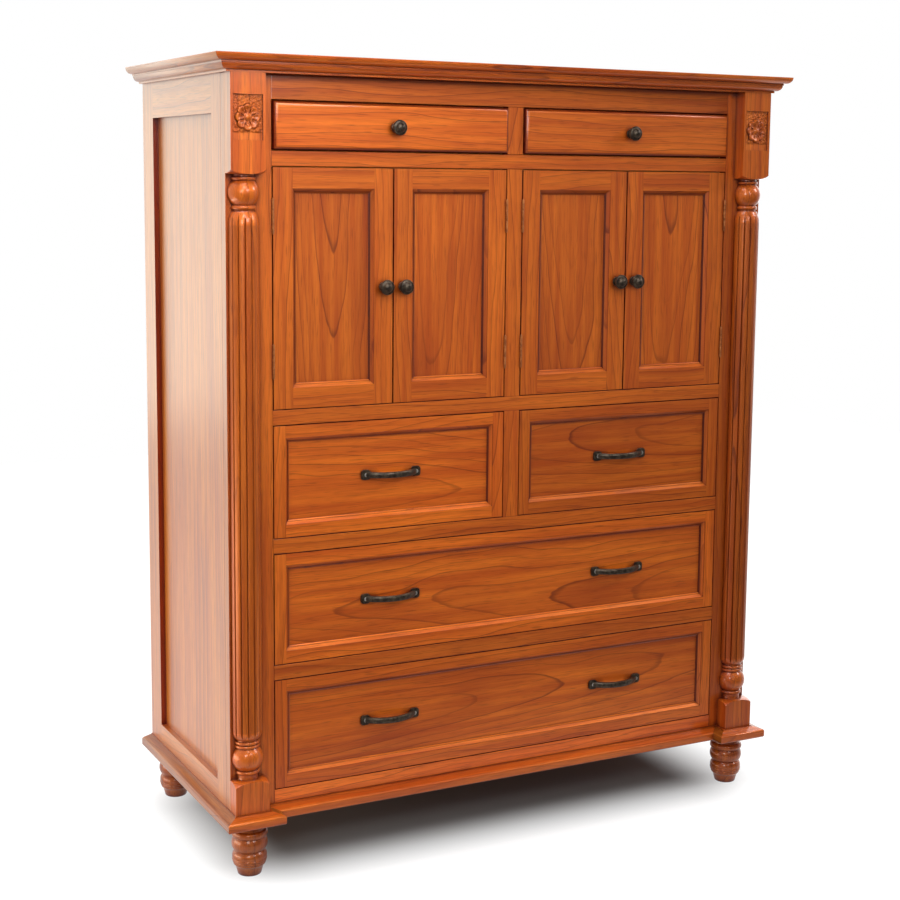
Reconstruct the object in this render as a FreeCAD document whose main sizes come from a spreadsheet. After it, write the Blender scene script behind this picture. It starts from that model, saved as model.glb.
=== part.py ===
import FreeCAD, Part
import math
import os
from types import SimpleNamespace

import Sketcher

# A tall chest with two pairs of doors and six drawers, standing on turned feet.
# The front faces -Y, +X is to the right seen from the front, the floor is z = 0.

# Every settable size, in mm.
SIZES = {
    # case
    "body_width": 1073,
    "body_depth": 445,
    "frame_thickness": 20,
    "outer_stile_width": 80,
    "muntin_width": 30.7,
    "rail_height": 25.5,
    "bottom_rail_height": 24,
    "top_rail_height": 40.5,
    "drawer_opening_height": 194,
    "door_opening_height": 404,
    "top_opening_height": 82,
    "tenon_thickness": 7,
    "tenon_length": 30,
    "tenon_shoulder": 4,
    "muntin_tenon_length": 8,
    "overrun": 2,
    # sides and back
    "side_thickness": 22,
    "side_front_stile_width": 45.5,
    "side_back_stile_width": 60,
    "side_top_rail_height": 63,
    "side_bottom_rail_height": 34.5,
    "side_panel_thickness": 8,
    "side_recess": 10,
    "tongue_length": 6,
    "panel_play": 0.2,
    "back_thickness": 6,
    "back_inset": 2,
    # cornice and top
    "cornice_side_overhang": 31.5,
    "cornice_front_overhang": 25,
    "top_thickness": 12,
    "top_edge_radius": 11,
    "cornice_thickness": 17,
    "cornice_setback": 12.5,
    "cornice_edge_radius": 10,
    "cornice_fillet_height": 3,
    "cornice_fillet_step": 1.2,
    "bed_thickness": 3.5,
    "bed_setback": 12,
    # base and feet
    "base_overhang": 20.5,
    "base_nose_height": 15.5,
    "base_slope_height": 5,
    "base_slope_width": 18.5,
    "base_ledge_height": 1.5,
    "base_break_margin": 2.5,
    "base_nose_radius": 4,
    "foot_height": 94.5,
    "foot_side_inset": 34.5,
    "foot_front_inset": 3,
    "foot_back_inset": 35,
    "foot_tip_radius": 20,
    "foot_tip_rounding": 2.5,
    "foot_ankle_radius": 23.6,
    "foot_ankle_level": 14,
    "foot_step_radius": 26,
    "foot_step_level": 17.5,
    "foot_first_ring_radius": 27.6,
    "foot_second_ring_radius": 28.8,
    "foot_third_ring_radius": 29.4,
    "foot_ring_height": 4,
    "foot_ring_bulge": 0.9,
    "foot_lower_bulge": 1.8,
    "foot_neck_radius": 25.5,
    "foot_neck_level": 42.5,
    "foot_upper_bulge": 4.5,
    "foot_groove_radius": 27.4,
    "foot_groove_level": 67,
    "foot_bead_bulge": 4.5,
    "foot_collar_radius": 26,
    "foot_collar_level": 80,
    "spigot_radius": 12,
    "spigot_length": 14,
    "spigot_clearance": 0.1,
    # corner posts, heights measured from the base board
    "post_width": 60.5,
    "post_projection": 27.5,
    "lower_block_height": 55.5,
    "lower_neck_height": 64,
    "lower_ring_height": 71.5,
    "lower_ball_height": 110,
    "lower_collar_height": 116.5,
    "lower_cuff_height": 123,
    "reeds_end_gap": 2.5,
    "lower_taper_height": 14,
    "upper_taper_height": 22,
    "taper_bulge": 1.5,
    "upper_block_height": 162,
    "upper_neck_drop": 3,
    "upper_ring_drop": 9.5,
    "upper_ball_drop": 49,
    "upper_cuff_drop": 57.5,
    "neck_radius": 18,
    "ring_bulge": 3,
    "ball_bulge": 8.8,
    "cuff_radius": 19,
    "shaft_end_radius": 20.5,
    "shaft_radius": 25.9,
    "reed_depth": 3.2,
    "reed_rise": 1.3,
    "shoulder_inner_radius": 20,
    "shoulder_height": 10,
    "shoulder_rise": 2.7,
    "field_width": 50.5,
    "field_height": 73,
    "field_top_drop": 34.5,
    "field_depth": 4,
    "rosette_radius": 22.5,
    "petal_length": 17,
    "petal_width": 12.6,
    "petal_relief": 3.6,
    "button_radius": 6,
    "button_relief": 4,
    # boards inside
    "board_thickness": 15,
    "partition_thickness": 18,
    "guide_width": 20,
    "guide_height": 16,
    "guide_clearance": 0.5,
    "shelf_setback": 15,
    "shelf_clearance": 1,
    "cleat_size": 15,
    "stop_depth": 15,
    "stop_drop": 8,
    # drawers
    "drawer_gap": 1.6,
    "drawer_lift": 0.3,
    "drawer_side_gap": 3,
    "drawer_wall": 12,
    "drawer_bottom_thickness": 6,
    "drawer_bottom_inset": 9,
    "drawer_box_height": 150,
    "top_box_height": 60,
    "stop_clearance": 0.5,
    "front_raise": 8,
    "front_edge_radius": 7.5,
    "front_frame_width": 21,
    # framed panels on doors and drawers
    "door_thickness": 19.6,
    "door_stile_width": 34.5,
    "door_gap": 1.6,
    "hinge_gap": 2,
    "meeting_gap": 2.6,
    "panel_thickness": 6,
    "panel_recess": 8,
    "bevel_width": 5.5,
    "bevel_quirk": 1,
    "bevel_toe": 1.4,
    "lip_width": 2.4,
    "lip_height": 2.4,
    "lip_toe": 1.4,
    # hardware
    "knob_edge_distance": 17,
    "knob_seat_radius": 8.5,
    "knob_seat_thickness": 2.5,
    "knob_neck_radius": 5.5,
    "knob_neck_length": 9,
    "knob_head_radius": 12,
    "knob_head_level": 13.5,
    "knob_rim_level": 19,
    "knob_rim_bulge": 1,
    "knob_button_radius": 8.5,
    "knob_button_level": 19.6,
    "knob_button_bulge": 1,
    "knob_tip_radius": 2.5,
    "knob_length": 25,
    "pull_centres": 96,
    "pull_bow": 22,
    "pull_strap_height": 10,
    "pull_strap_thickness": 5,
    "pull_strap_crown": 1.4,
    "pull_plate_size": 17,
    "pull_plate_rounding": 5,
    "pull_plate_thickness": 3.5,
    "pull_screw_radius": 3.6,
    "pull_screw_height": 5,
    "hinge_length": 56,
    "hinge_end_distance": 80,
    "barrel_radius": 1.9,
    "barrel_standoff": 0.2,
    "pin_radius": 0.9,
    "pin_clearance": 0.05,
    "pin_tip_length": 2,
    "leaf_thickness": 0.9,
    "leaf_depth": 16,
    "leaf_setback": 0.2,
    "knuckle_gap": 0.4,
}
REED_COUNT = 14
PETAL_COUNT = 8
# Half the angle of one valley between reeds, and the share of the reed pitch that a valley takes.
VALLEY_ANGLE = math.pi / REED_COUNT
VALLEY_SHARE = 0.88
# How far the turned shoulders of the square blocks reach, as a share of the block width.
SHOULDER_SHARE = 0.72

doc = FreeCAD.newDocument("TallChest")
sheet = doc.addObject("Spreadsheet::Sheet", "Sizes")
for row, (alias, number) in enumerate(SIZES.items(), start=1):
    sheet.set(f"A{row}", str(number))
    sheet.setAlias(f"A{row}", alias)
doc.recompute()


class Length:
    """A length that keeps its value together with the sheet expression that gives it."""

    def __init__(self, text, value):
        self.text = text
        self.value = value

    def __add__(self, other):
        return Length(f"({self.text} + {other.text})", self.value + other.value)

    def __sub__(self, other):
        return Length(f"({self.text} - {other.text})", self.value - other.value)

    def __neg__(self):
        return Length(f"(0 - {self.text})", -self.value)

    def __mul__(self, other):
        if isinstance(other, Length):
            return Length(f"({self.text} * {other.text})", self.value * other.value)
        return Length(f"({self.text} * {other:.12f})", self.value * other)

    def __truediv__(self, other):
        if isinstance(other, Length):
            return Length(f"({self.text} / {other.text})", self.value / other.value)
        return Length(f"({self.text} / {other})", self.value / other)


s = SimpleNamespace(**{alias: Length(f"Sizes.{alias}", float(sheet.get(alias))) for alias in SIZES})
ZERO = s.overrun - s.overrun
NODES = []


def bind(item, prop, length):
    item.setExpression(prop, length.text)


def move(item, x, y, z):
    for axis, length in zip("xyz", (x, y, z)):
        bind(item, f"Placement.Base.{axis}", length)


def turn(item, axis, degrees):
    item.Placement = FreeCAD.Placement(FreeCAD.Vector(), FreeCAD.Rotation(FreeCAD.Vector(*axis), degrees))


def node(label, *pieces):
    """Names a finished piece, or a set of like pieces, as one subcomponent."""
    item = pieces[0]
    if len(pieces) > 1:
        item = doc.addObject("Part::Compound", f"{label}_set")
        item.Links = list(pieces)
    item.Label = label
    NODES.append(item)


def box(name, x, y, z):
    """A box from three (low, high) pairs."""
    item = doc.addObject("Part::Box", name)
    for prop, (low, high) in zip(("Length", "Width", "Height"), (x, y, z)):
        bind(item, prop, high - low)
    move(item, x[0], y[0], z[0])
    return item


def cylinder(name, x, y, z, radius):
    """An upright cylinder standing at x, y between a (low, high) pair of heights."""
    item = doc.addObject("Part::Cylinder", name)
    bind(item, "Radius", radius)
    bind(item, "Height", z[1] - z[0])
    move(item, x, y, z[0])
    return item


def fuse(name, *pieces):
    item = doc.addObject("Part::MultiFuse", name)
    item.Shapes = list(pieces)
    return item


def cut(name, base, tool):
    item = doc.addObject("Part::Cut", name)
    item.Base = base
    item.Tool = tool
    return item


def grooved(name, bar, groove):
    return cut(name, box(f"{name}_bar", *bar), box(f"{name}_groove", *groove))


def side_span(side, low, high):
    """The (low, high) pair on the right, or its mirror image on the left."""
    return (low, high) if side > 0 else (-high, -low)


def origin_part(body, role):
    return next(part for part in body.Origin.OriginFeatures if part.Role == role)


def new_body(name):
    return doc.addObject("PartDesign::Body", name)


def outline(body, name, role, points, bulges=None, hollows=None, level=None):
    """A closed sketch through points given counterclockwise.

    bulges and hollows map the number of a side to its rise outward or inward from the chord.
    """
    sketch = body.newObject("Sketcher::SketchObject", name)
    sketch.AttachmentSupport = [(origin_part(body, role), "")]
    sketch.MapMode = "FlatFace"
    if level is not None:
        bind(sketch, "AttachmentOffset.Base.z", level)
    arcs = {number: (rise, 1) for number, rise in (bulges or {}).items()}
    arcs.update({number: (rise, -1) for number, rise in (hollows or {}).items()})
    spots = [FreeCAD.Vector(u.value, v.value, 0) for u, v in points]
    ends = []
    for number, start in enumerate(spots):
        stop = spots[(number + 1) % len(spots)]
        if number not in arcs:
            sketch.addGeometry(Part.LineSegment(start, stop))
            ends.append((1, 2))
            continue
        rise, side = arcs[number]
        run = (stop - start).normalize()
        middle = (start + stop) / 2 + FreeCAD.Vector(run.y, -run.x, 0) * rise.value * side
        first, last = (start, stop) if side > 0 else (stop, start)
        sketch.addGeometry(Part.ArcOfCircle(first, middle, last))
        ends.append((1, 2) if side > 0 else (2, 1))
    for number in range(len(points)):
        following = (number + 1) % len(points)
        joined = Sketcher.Constraint("Coincident", number, ends[number][1], following, ends[following][0])
        sketch.addConstraint(joined)
    for number, pair in enumerate(points):
        for kind, axis, length in zip(("DistanceX", "DistanceY"), (-2, -1), pair):
            corner = ends[number][0]
            if length.value == 0:
                sketch.addConstraint(Sketcher.Constraint("PointOnObject", number, corner, axis))
                continue
            index = sketch.addConstraint(Sketcher.Constraint(kind, number, corner, length.value))
            bind(sketch, f"Constraints[{index}]", length)
    for number, (rise, side) in arcs.items():
        (u0, v0), (u1, v1) = points[number], points[(number + 1) % len(points)]
        chord_squared = (u1 - u0) * (u1 - u0) + (v1 - v0) * (v1 - v0)
        radius = (chord_squared / 4 + rise * rise) / (rise + rise)
        index = sketch.addConstraint(Sketcher.Constraint("Radius", number, radius.value))
        bind(sketch, f"Constraints[{index}]", radius)
    return sketch


def rectangle(u, v):
    return [(u[0], v[0]), (u[1], v[0]), (u[1], v[1]), (u[0], v[1])]


def pad(body, name, sketch, length):
    item = body.newObject("PartDesign::Pad", name)
    item.Profile = sketch
    bind(item, "Length", length)
    doc.recompute()
    return item


def revolve(body, name, kind, sketch, angle):
    item = body.newObject(f"PartDesign::{kind}", name)
    item.Profile = sketch
    item.ReferenceAxis = (sketch, ["V_Axis"])
    item.Angle = angle
    item.Reversed = True
    doc.recompute()
    return item


def edge_names(base, chosen):
    """The names of a feature's edges whose middle point is chosen."""
    names = []
    for number, edge in enumerate(base.Shape.Edges, start=1):
        middle = edge.valueAt((edge.FirstParameter + edge.LastParameter) / 2)
        if chosen(middle):
            names.append(f"Edge{number}")
    return names


def round_edges(body, name, base, radius, chosen):
    """Rounds the edges of a feature whose middle point is chosen."""
    item = body.newObject("PartDesign::Fillet", name)
    item.Base = (base, edge_names(base, chosen))
    bind(item, "Radius", radius)
    doc.recompute()
    return item


# Main planes and levels.
half = s.body_width / 2
depth = s.body_depth + s.post_projection + s.cornice_front_overhang
face_y = s.post_projection + s.cornice_front_overhang - depth / 2
frame_back = face_y + s.frame_thickness
back_y = depth / 2
back_front = back_y - s.back_inset - s.back_thickness
inner_x = half - s.side_thickness
open_x = half - s.outer_stile_width
muntin_x = s.muntin_width / 2
bay_x = (open_x + muntin_x) / 2
case_z = s.foot_height + s.base_nose_height + s.base_slope_height + s.base_ledge_height

openings = {}
level = case_z + s.bottom_rail_height
for row_name, row_height in (
    ("lower", s.drawer_opening_height),
    ("upper", s.drawer_opening_height),
    ("middle", s.drawer_opening_height),
    ("doors", s.door_opening_height),
    ("top", s.top_opening_height),
):
    openings[row_name] = (level, level + row_height)
    level = level + row_height + s.rail_height
case_top = openings["top"][1] + s.top_rail_height
case_span = (case_z, case_top)
frame_span = (face_y, frame_back)
inside_span = (frame_back, back_front)


def framed_panel(name, plan, run, rise, thick, panel, stiles, rail_heights):
    """Two grooved stiles, two tenoned rails and a panel with its edges in the grooves.

    plan "front" runs along X and "side" along Y; every span is a (low, high) pair.
    """

    def placed(piece, along, across, up):
        return box(piece, along, across, up) if plan == "front" else box(piece, across, along, up)

    def with_groove(piece, along, up, groove_along, groove_up):
        bar = placed(f"{piece}_bar", along, thick, up)
        return cut(piece, bar, placed(f"{piece}_groove", groove_along, panel, groove_up))

    groove = s.tongue_length + s.panel_play
    inner_run = (run[0] + stiles[0], run[1] - stiles[1])
    inner_rise = (rise[0] + rail_heights[0], rise[1] - rail_heights[1])
    long_run = (inner_run[0] - s.overrun, inner_run[1] + s.overrun)
    long_rise = (rise[0] - s.overrun, rise[1] + s.overrun)
    first_groove = (inner_run[0] - groove, long_run[0] + s.overrun + s.overrun)
    second_groove = (long_run[1] - s.overrun - s.overrun, inner_run[1] + groove)
    low_groove = (inner_rise[0] - groove, inner_rise[0] + s.overrun)
    high_groove = (inner_rise[1] - s.overrun, inner_rise[1] + groove)
    pieces = [
        with_groove(f"{name}_stile_a", (run[0], inner_run[0]), rise, first_groove, long_rise),
        with_groove(f"{name}_stile_b", (inner_run[1], run[1]), rise, second_groove, long_rise),
    ]
    for end, up, groove_up, tenon_up in (
        ("low", (rise[0], inner_rise[0]), low_groove, (rise[0], low_groove[0])),
        ("high", (inner_rise[1], rise[1]), high_groove, (high_groove[1], rise[1])),
    ):
        piece = f"{name}_rail_{end}"
        rail = with_groove(f"{piece}_body", inner_run, up, long_run, groove_up)
        tenon_a = placed(f"{piece}_tenon_a", (inner_run[0] - s.tongue_length, inner_run[0]), panel, tenon_up)
        tenon_b = placed(f"{piece}_tenon_b", (inner_run[1], inner_run[1] + s.tongue_length), panel, tenon_up)
        pieces.append(fuse(piece, rail, tenon_a, tenon_b))
    panel_run = (inner_run[0] - s.tongue_length, inner_run[1] + s.tongue_length)
    panel_rise = (inner_rise[0] - s.tongue_length, inner_rise[1] + s.tongue_length)
    return pieces, placed(f"{name}_board", panel_run, panel, panel_rise), inner_run, inner_rise


def sunk_moulding(name, run, rise, floor_y):
    """Mitred bevel and lip strips round a sunk panel, standing on the panel's face."""
    width = run[1] - run[0]
    height = rise[1] - rise[0]
    strips = []
    bevel_top = s.panel_recess - s.bevel_quirk
    lip_end = s.bevel_width + s.lip_width
    for part, near, far, near_top, far_top in (
        ("bevel", ZERO, s.bevel_width, bevel_top, s.bevel_toe),
        ("lip", s.bevel_width, lip_end, s.lip_height, s.lip_toe),
    ):
        for edge, angle, x, z, length in (
            ("bottom", 0, run[0], rise[0], width),
            ("left", 90, run[0], rise[1], height),
            ("top", 180, run[1], rise[1], width),
            ("right", -90, run[1], rise[0], height),
        ):
            strip = doc.addObject("Part::Wedge", f"{name}_{part}_{edge}")
            upright = FreeCAD.Rotation(FreeCAD.Vector(1, 0, 0), 90)
            swing = FreeCAD.Rotation(FreeCAD.Vector(0, 1, 0), angle)
            strip.Placement = FreeCAD.Placement(FreeCAD.Vector(), swing.multiply(upright))
            for prop, size in (
                ("Xmin", near),
                ("Xmax", length - near),
                ("X2min", far),
                ("X2max", length - far),
                ("Ymin", near),
                ("Ymax", far),
                ("Zmin", ZERO),
                ("Zmax", near_top),
                ("Z2min", ZERO),
                ("Z2max", far_top),
            ):
                bind(strip, prop, size)
            move(strip, x, floor_y, z)
            strips.append(strip)
    return strips


# Face frame: rails tenoned into the outer stiles, and muntins tenoned into the rails.
tenon_y = (
    face_y + (s.frame_thickness - s.tenon_thickness) / 2,
    face_y + (s.frame_thickness + s.tenon_thickness) / 2,
)
SPLIT_ROWS = ("middle", "doors", "top")
muntin_pieces = []
muntin_mortises = []
for row_name in SPLIT_ROWS:
    row = openings[row_name]
    bar = box(f"muntin_{row_name}_bar", (-muntin_x, muntin_x), frame_span, row)
    tenon_x = (s.tenon_shoulder - muntin_x, muntin_x - s.tenon_shoulder)
    tenon_span = (row[0] - s.muntin_tenon_length, row[1] + s.muntin_tenon_length)
    tenon = box(f"muntin_{row_name}_tenons", tenon_x, tenon_y, tenon_span)
    muntin_pieces.append(fuse(f"muntin_{row_name}", bar, tenon))
    mortise_span = (tenon_span[0] - s.panel_play, tenon_span[1] + s.panel_play)
    muntin_mortises.append(box(f"muntin_{row_name}_mortises", tenon_x, tenon_y, mortise_span))
node("face_frame_muntins", *muntin_pieces)
muntin_mortise_set = fuse("muntin_mortises", *muntin_mortises)
rail_levels = [case_z]
for row in openings.values():
    rail_levels.extend(row)
rail_levels.append(case_top)
tenon_x = open_x + s.tenon_length
mortise_x = tenon_x + s.panel_play
rail_pieces = []
rail_mortises = []
for number in range(len(openings) + 1):
    rail_span = (rail_levels[number * 2], rail_levels[number * 2 + 1])
    tenon_span = (rail_span[0] + s.tenon_shoulder, rail_span[1] - s.tenon_shoulder)
    bar = box(f"face_rail_{number}_bar", (-open_x, open_x), frame_span, rail_span)
    tenon = box(f"face_rail_{number}_tenons", (-tenon_x, tenon_x), tenon_y, tenon_span)
    rail = fuse(f"face_rail_{number}_body", bar, tenon)
    rail_pieces.append(cut(f"face_rail_{number}", rail, muntin_mortise_set))
    rail_mortises.append(box(f"face_rail_{number}_mortises", (-mortise_x, mortise_x), tenon_y, tenon_span))
node("face_frame_rails", *rail_pieces)
rail_mortise_set = fuse("rail_mortises", *rail_mortises)
stile_pieces = []
for side_name, side in (("left", -1), ("right", 1)):
    bar = box(f"face_stile_{side_name}_bar", side_span(side, open_x, half), frame_span, case_span)
    stile_pieces.append(cut(f"face_stile_{side_name}", bar, rail_mortise_set))
node("face_frame_stiles", *stile_pieces)

# Sides and back.
side_boards = []
for side_name, side in (("left", -1), ("right", 1)):
    panel_outer = half - s.side_recess
    frame_pieces, side_board, panel_run, panel_rise = framed_panel(
        f"side_{side_name}",
        "side",
        (frame_back, back_y),
        case_span,
        side_span(side, inner_x, half),
        side_span(side, panel_outer - s.side_panel_thickness, panel_outer),
        (s.side_front_stile_width, s.side_back_stile_width),
        (s.side_bottom_rail_height, s.side_top_rail_height),
    )
    node(f"side_frame_{side_name}", *frame_pieces)
    side_boards.append(side_board)
node("side_panels", *side_boards)
back_span = (back_front, back_y - s.back_inset)
node("back_panel", box("back_board", (-inner_x, inner_x), back_span, case_span))

# Top board and the moulded cornice board under it.
top_body = new_body("top_slab")
top_x = half + s.cornice_side_overhang
top_sketch = outline(top_body, "top_plan", "XY_Plane", rectangle((-top_x, top_x), (-depth / 2, back_y)))
top_pad = pad(top_body, "top_pad", top_sketch, s.top_thickness)
flat = s.overrun.value / 4


def under_edge(level_value):
    """Chooses the level edges at a height along the front and the two sides."""
    return lambda spot: abs(spot.z - level_value) < flat and spot.y < back_y.value - flat


round_edges(top_body, "top_rounding", top_pad, s.top_edge_radius, under_edge(ZERO.value))
move(top_body, ZERO, ZERO, case_top + s.cornice_thickness)
node("top_board", top_body)

cornice_body = new_body("cornice_slab")
cornice_x = top_x - s.cornice_setback
cornice_front = s.cornice_setback - depth / 2
fillet_level = s.cornice_thickness - s.cornice_fillet_height
ovolo_x = cornice_x - s.cornice_fillet_step
ovolo_plan = rectangle((-ovolo_x, ovolo_x), (cornice_front + s.cornice_fillet_step, back_y))
ovolo_sketch = outline(cornice_body, "ovolo_plan", "XY_Plane", ovolo_plan, level=s.bed_thickness)
ovolo_pad = pad(cornice_body, "ovolo_pad", ovolo_sketch, fillet_level - s.bed_thickness)
round_edges(cornice_body, "ovolo", ovolo_pad, s.cornice_edge_radius, under_edge(s.bed_thickness.value))
fillet_plan = rectangle((-cornice_x, cornice_x), (cornice_front, back_y))
fillet_sketch = outline(cornice_body, "fillet_plan", "XY_Plane", fillet_plan, level=fillet_level)
pad(cornice_body, "fillet_pad", fillet_sketch, s.cornice_fillet_height)
bed_x = cornice_x - s.bed_setback
bed_plan = rectangle((-bed_x, bed_x), (cornice_front + s.bed_setback, back_y))
bed_sketch = outline(cornice_body, "bed_plan", "XY_Plane", bed_plan)
pad(cornice_body, "bed_pad", bed_sketch, s.bed_thickness)
move(cornice_body, ZERO, ZERO, case_top)
node("cornice_board", cornice_body)


# Base board, breaking forward under the corner posts.
def base_plan(offset):
    """The outline of the base at an offset outside the case and the post blocks."""
    side_x = half + offset
    break_x = half - s.post_width - s.base_break_margin - offset
    block_y = face_y - s.post_projection - offset
    middle_y = face_y - offset
    return [
        (-side_x, block_y),
        (-break_x, block_y),
        (-break_x, middle_y),
        (break_x, middle_y),
        (break_x, block_y),
        (side_x, block_y),
        (side_x, back_y),
        (-side_x, back_y),
    ]


base_body = new_body("base_slab")
nose_plan = base_plan(s.base_overhang)
nose_sketch = outline(base_body, "nose_plan", "XY_Plane", nose_plan)
ledge_level = s.base_nose_height + s.base_slope_height
block_pad = pad(base_body, "block_pad", nose_sketch, ledge_level)
slope = base_body.newObject("PartDesign::Chamfer", "base_slope")
slope.Base = (block_pad, edge_names(block_pad, under_edge(ledge_level.value)))
slope.ChamferType = "Two distances"
bind(slope, "Size", s.base_slope_height)
bind(slope, "Size2", s.base_slope_width)
doc.recompute()
ledge_plan = base_plan(s.base_overhang - s.base_slope_width)
ledge_sketch = outline(base_body, "ledge_plan", "XY_Plane", ledge_plan, level=ledge_level)
ledge_pad = pad(base_body, "ledge_pad", ledge_sketch, s.base_ledge_height)
nose_level = s.base_nose_height.value
round_edges(
    base_body,
    "nose_rounding",
    ledge_pad,
    s.base_nose_radius,
    lambda spot: under_edge(nose_level)(spot) or under_edge(ZERO.value)(spot),
)
move(base_body, ZERO, ZERO, s.foot_height)

# Turned feet, each with a spigot let into the base board.
foot_places = {}
for side_name, side in (("left", -1), ("right", 1)):
    foot_x = half - s.foot_side_inset
    signed_x = foot_x if side > 0 else -foot_x
    foot_places[f"front_{side_name}"] = (signed_x, face_y + s.foot_front_inset)
    foot_places[f"back_{side_name}"] = (signed_x, back_y - s.foot_back_inset)
spigot_top = s.foot_height + s.spigot_length
foot_profile = [
    (ZERO, ZERO),
    (s.foot_tip_radius, ZERO),
    (s.foot_ankle_radius, s.foot_ankle_level),
    (s.foot_step_radius, s.foot_step_level),
    (s.foot_first_ring_radius, s.foot_step_level + s.foot_ring_height),
    (s.foot_second_ring_radius, s.foot_step_level + s.foot_ring_height * 2),
    (s.foot_third_ring_radius, s.foot_step_level + s.foot_ring_height * 3),
    (s.foot_neck_radius, s.foot_neck_level),
    (s.foot_groove_radius, s.foot_groove_level),
    (s.foot_collar_radius, s.foot_collar_level),
    (s.foot_collar_radius, s.foot_height),
    (s.spigot_radius, s.foot_height),
    (s.spigot_radius, spigot_top),
    (ZERO, spigot_top),
]
foot_bulges = {3: s.foot_ring_bulge, 4: s.foot_ring_bulge, 5: s.foot_ring_bulge}
foot_bulges.update({6: s.foot_lower_bulge, 7: s.foot_upper_bulge, 8: s.foot_bead_bulge})
spigot_holes = []
for place, (x, y) in foot_places.items():
    foot_body = new_body(f"foot_turning_{place}")
    foot_sketch = outline(foot_body, f"foot_profile_{place}", "XZ_Plane", foot_profile, bulges=foot_bulges)
    foot_turned = revolve(foot_body, f"foot_turned_{place}", "Revolution", foot_sketch, 360)
    round_edges(
        foot_body,
        f"foot_tip_{place}",
        foot_turned,
        s.foot_tip_rounding,
        lambda spot: abs(spot.z) < flat and abs(math.hypot(spot.x, spot.y) - s.foot_tip_radius.value) < flat,
    )
    move(foot_body, x, y, ZERO)
    node(f"foot_{place}", foot_body)
    hole_radius = s.spigot_radius + s.spigot_clearance
    hole_span = (s.foot_height - s.overrun, spigot_top + s.spigot_clearance)
    spigot_holes.append(cylinder(f"spigot_hole_{place}", x, y, hole_span, hole_radius))
node("base_board", cut("base_bored", base_body, fuse("spigot_holes", *spigot_holes)))

# Corner posts: square blocks at both ends, turned rings and balls, and a half-round reeded shaft.
post_height = case_top - case_z
block_z = post_height - s.upper_block_height
lower_shaft = s.lower_cuff_height + s.reeds_end_gap
upper_shaft = block_z - s.upper_cuff_drop - s.reeds_end_gap
post_profile = [
    (ZERO, s.lower_block_height / 2),
    (s.neck_radius, s.lower_block_height / 2),
    (s.neck_radius, s.lower_neck_height),
    (s.neck_radius, s.lower_ring_height),
    (s.cuff_radius, s.lower_ball_height),
    (s.cuff_radius, s.lower_collar_height),
    (s.cuff_radius, s.lower_cuff_height),
    (s.cuff_radius, lower_shaft),
    (s.shaft_end_radius, lower_shaft),
    (s.shaft_radius, lower_shaft + s.lower_taper_height),
    (s.shaft_radius, upper_shaft - s.upper_taper_height),
    (s.shaft_end_radius, upper_shaft),
    (s.neck_radius, upper_shaft),
    (s.neck_radius, block_z - s.upper_cuff_drop),
    (s.neck_radius, block_z - s.upper_ball_drop),
    (s.neck_radius, block_z - s.upper_ring_drop),
    (s.neck_radius, block_z - s.upper_neck_drop),
    (s.neck_radius, block_z + s.lower_block_height / 2),
    (ZERO, block_z + s.lower_block_height / 2),
]
post_bulges = {
    2: s.ring_bulge,
    3: s.ball_bulge,
    4: s.ring_bulge,
    5: s.ring_bulge,
    8: s.taper_bulge,
    10: s.taper_bulge,
    13: s.ring_bulge,
    14: s.ball_bulge,
    15: s.ring_bulge,
}
block_plan = rectangle((-s.post_width / 2, s.post_width / 2), (-s.post_projection, ZERO))
shoulder_x = s.post_width * SHOULDER_SHARE
lower_shoulder = [
    (s.shoulder_inner_radius, s.lower_block_height),
    (shoulder_x, s.lower_block_height - s.shoulder_height),
    (shoulder_x, s.lower_block_height),
]
upper_shoulder = [
    (s.shoulder_inner_radius, block_z),
    (shoulder_x, block_z),
    (shoulder_x, block_z + s.shoulder_height),
]
valley_radius = s.shaft_radius + s.overrun
valley_x = -valley_radius * math.cos(VALLEY_ANGLE * VALLEY_SHARE)
valley_y = valley_radius * math.sin(VALLEY_ANGLE * VALLEY_SHARE)
valley_plan = [(s.reed_depth - s.shaft_radius, ZERO), (valley_x, valley_y), (valley_x, -valley_y)]
post_x = half - s.post_width / 2
rosette_pieces = []
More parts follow.
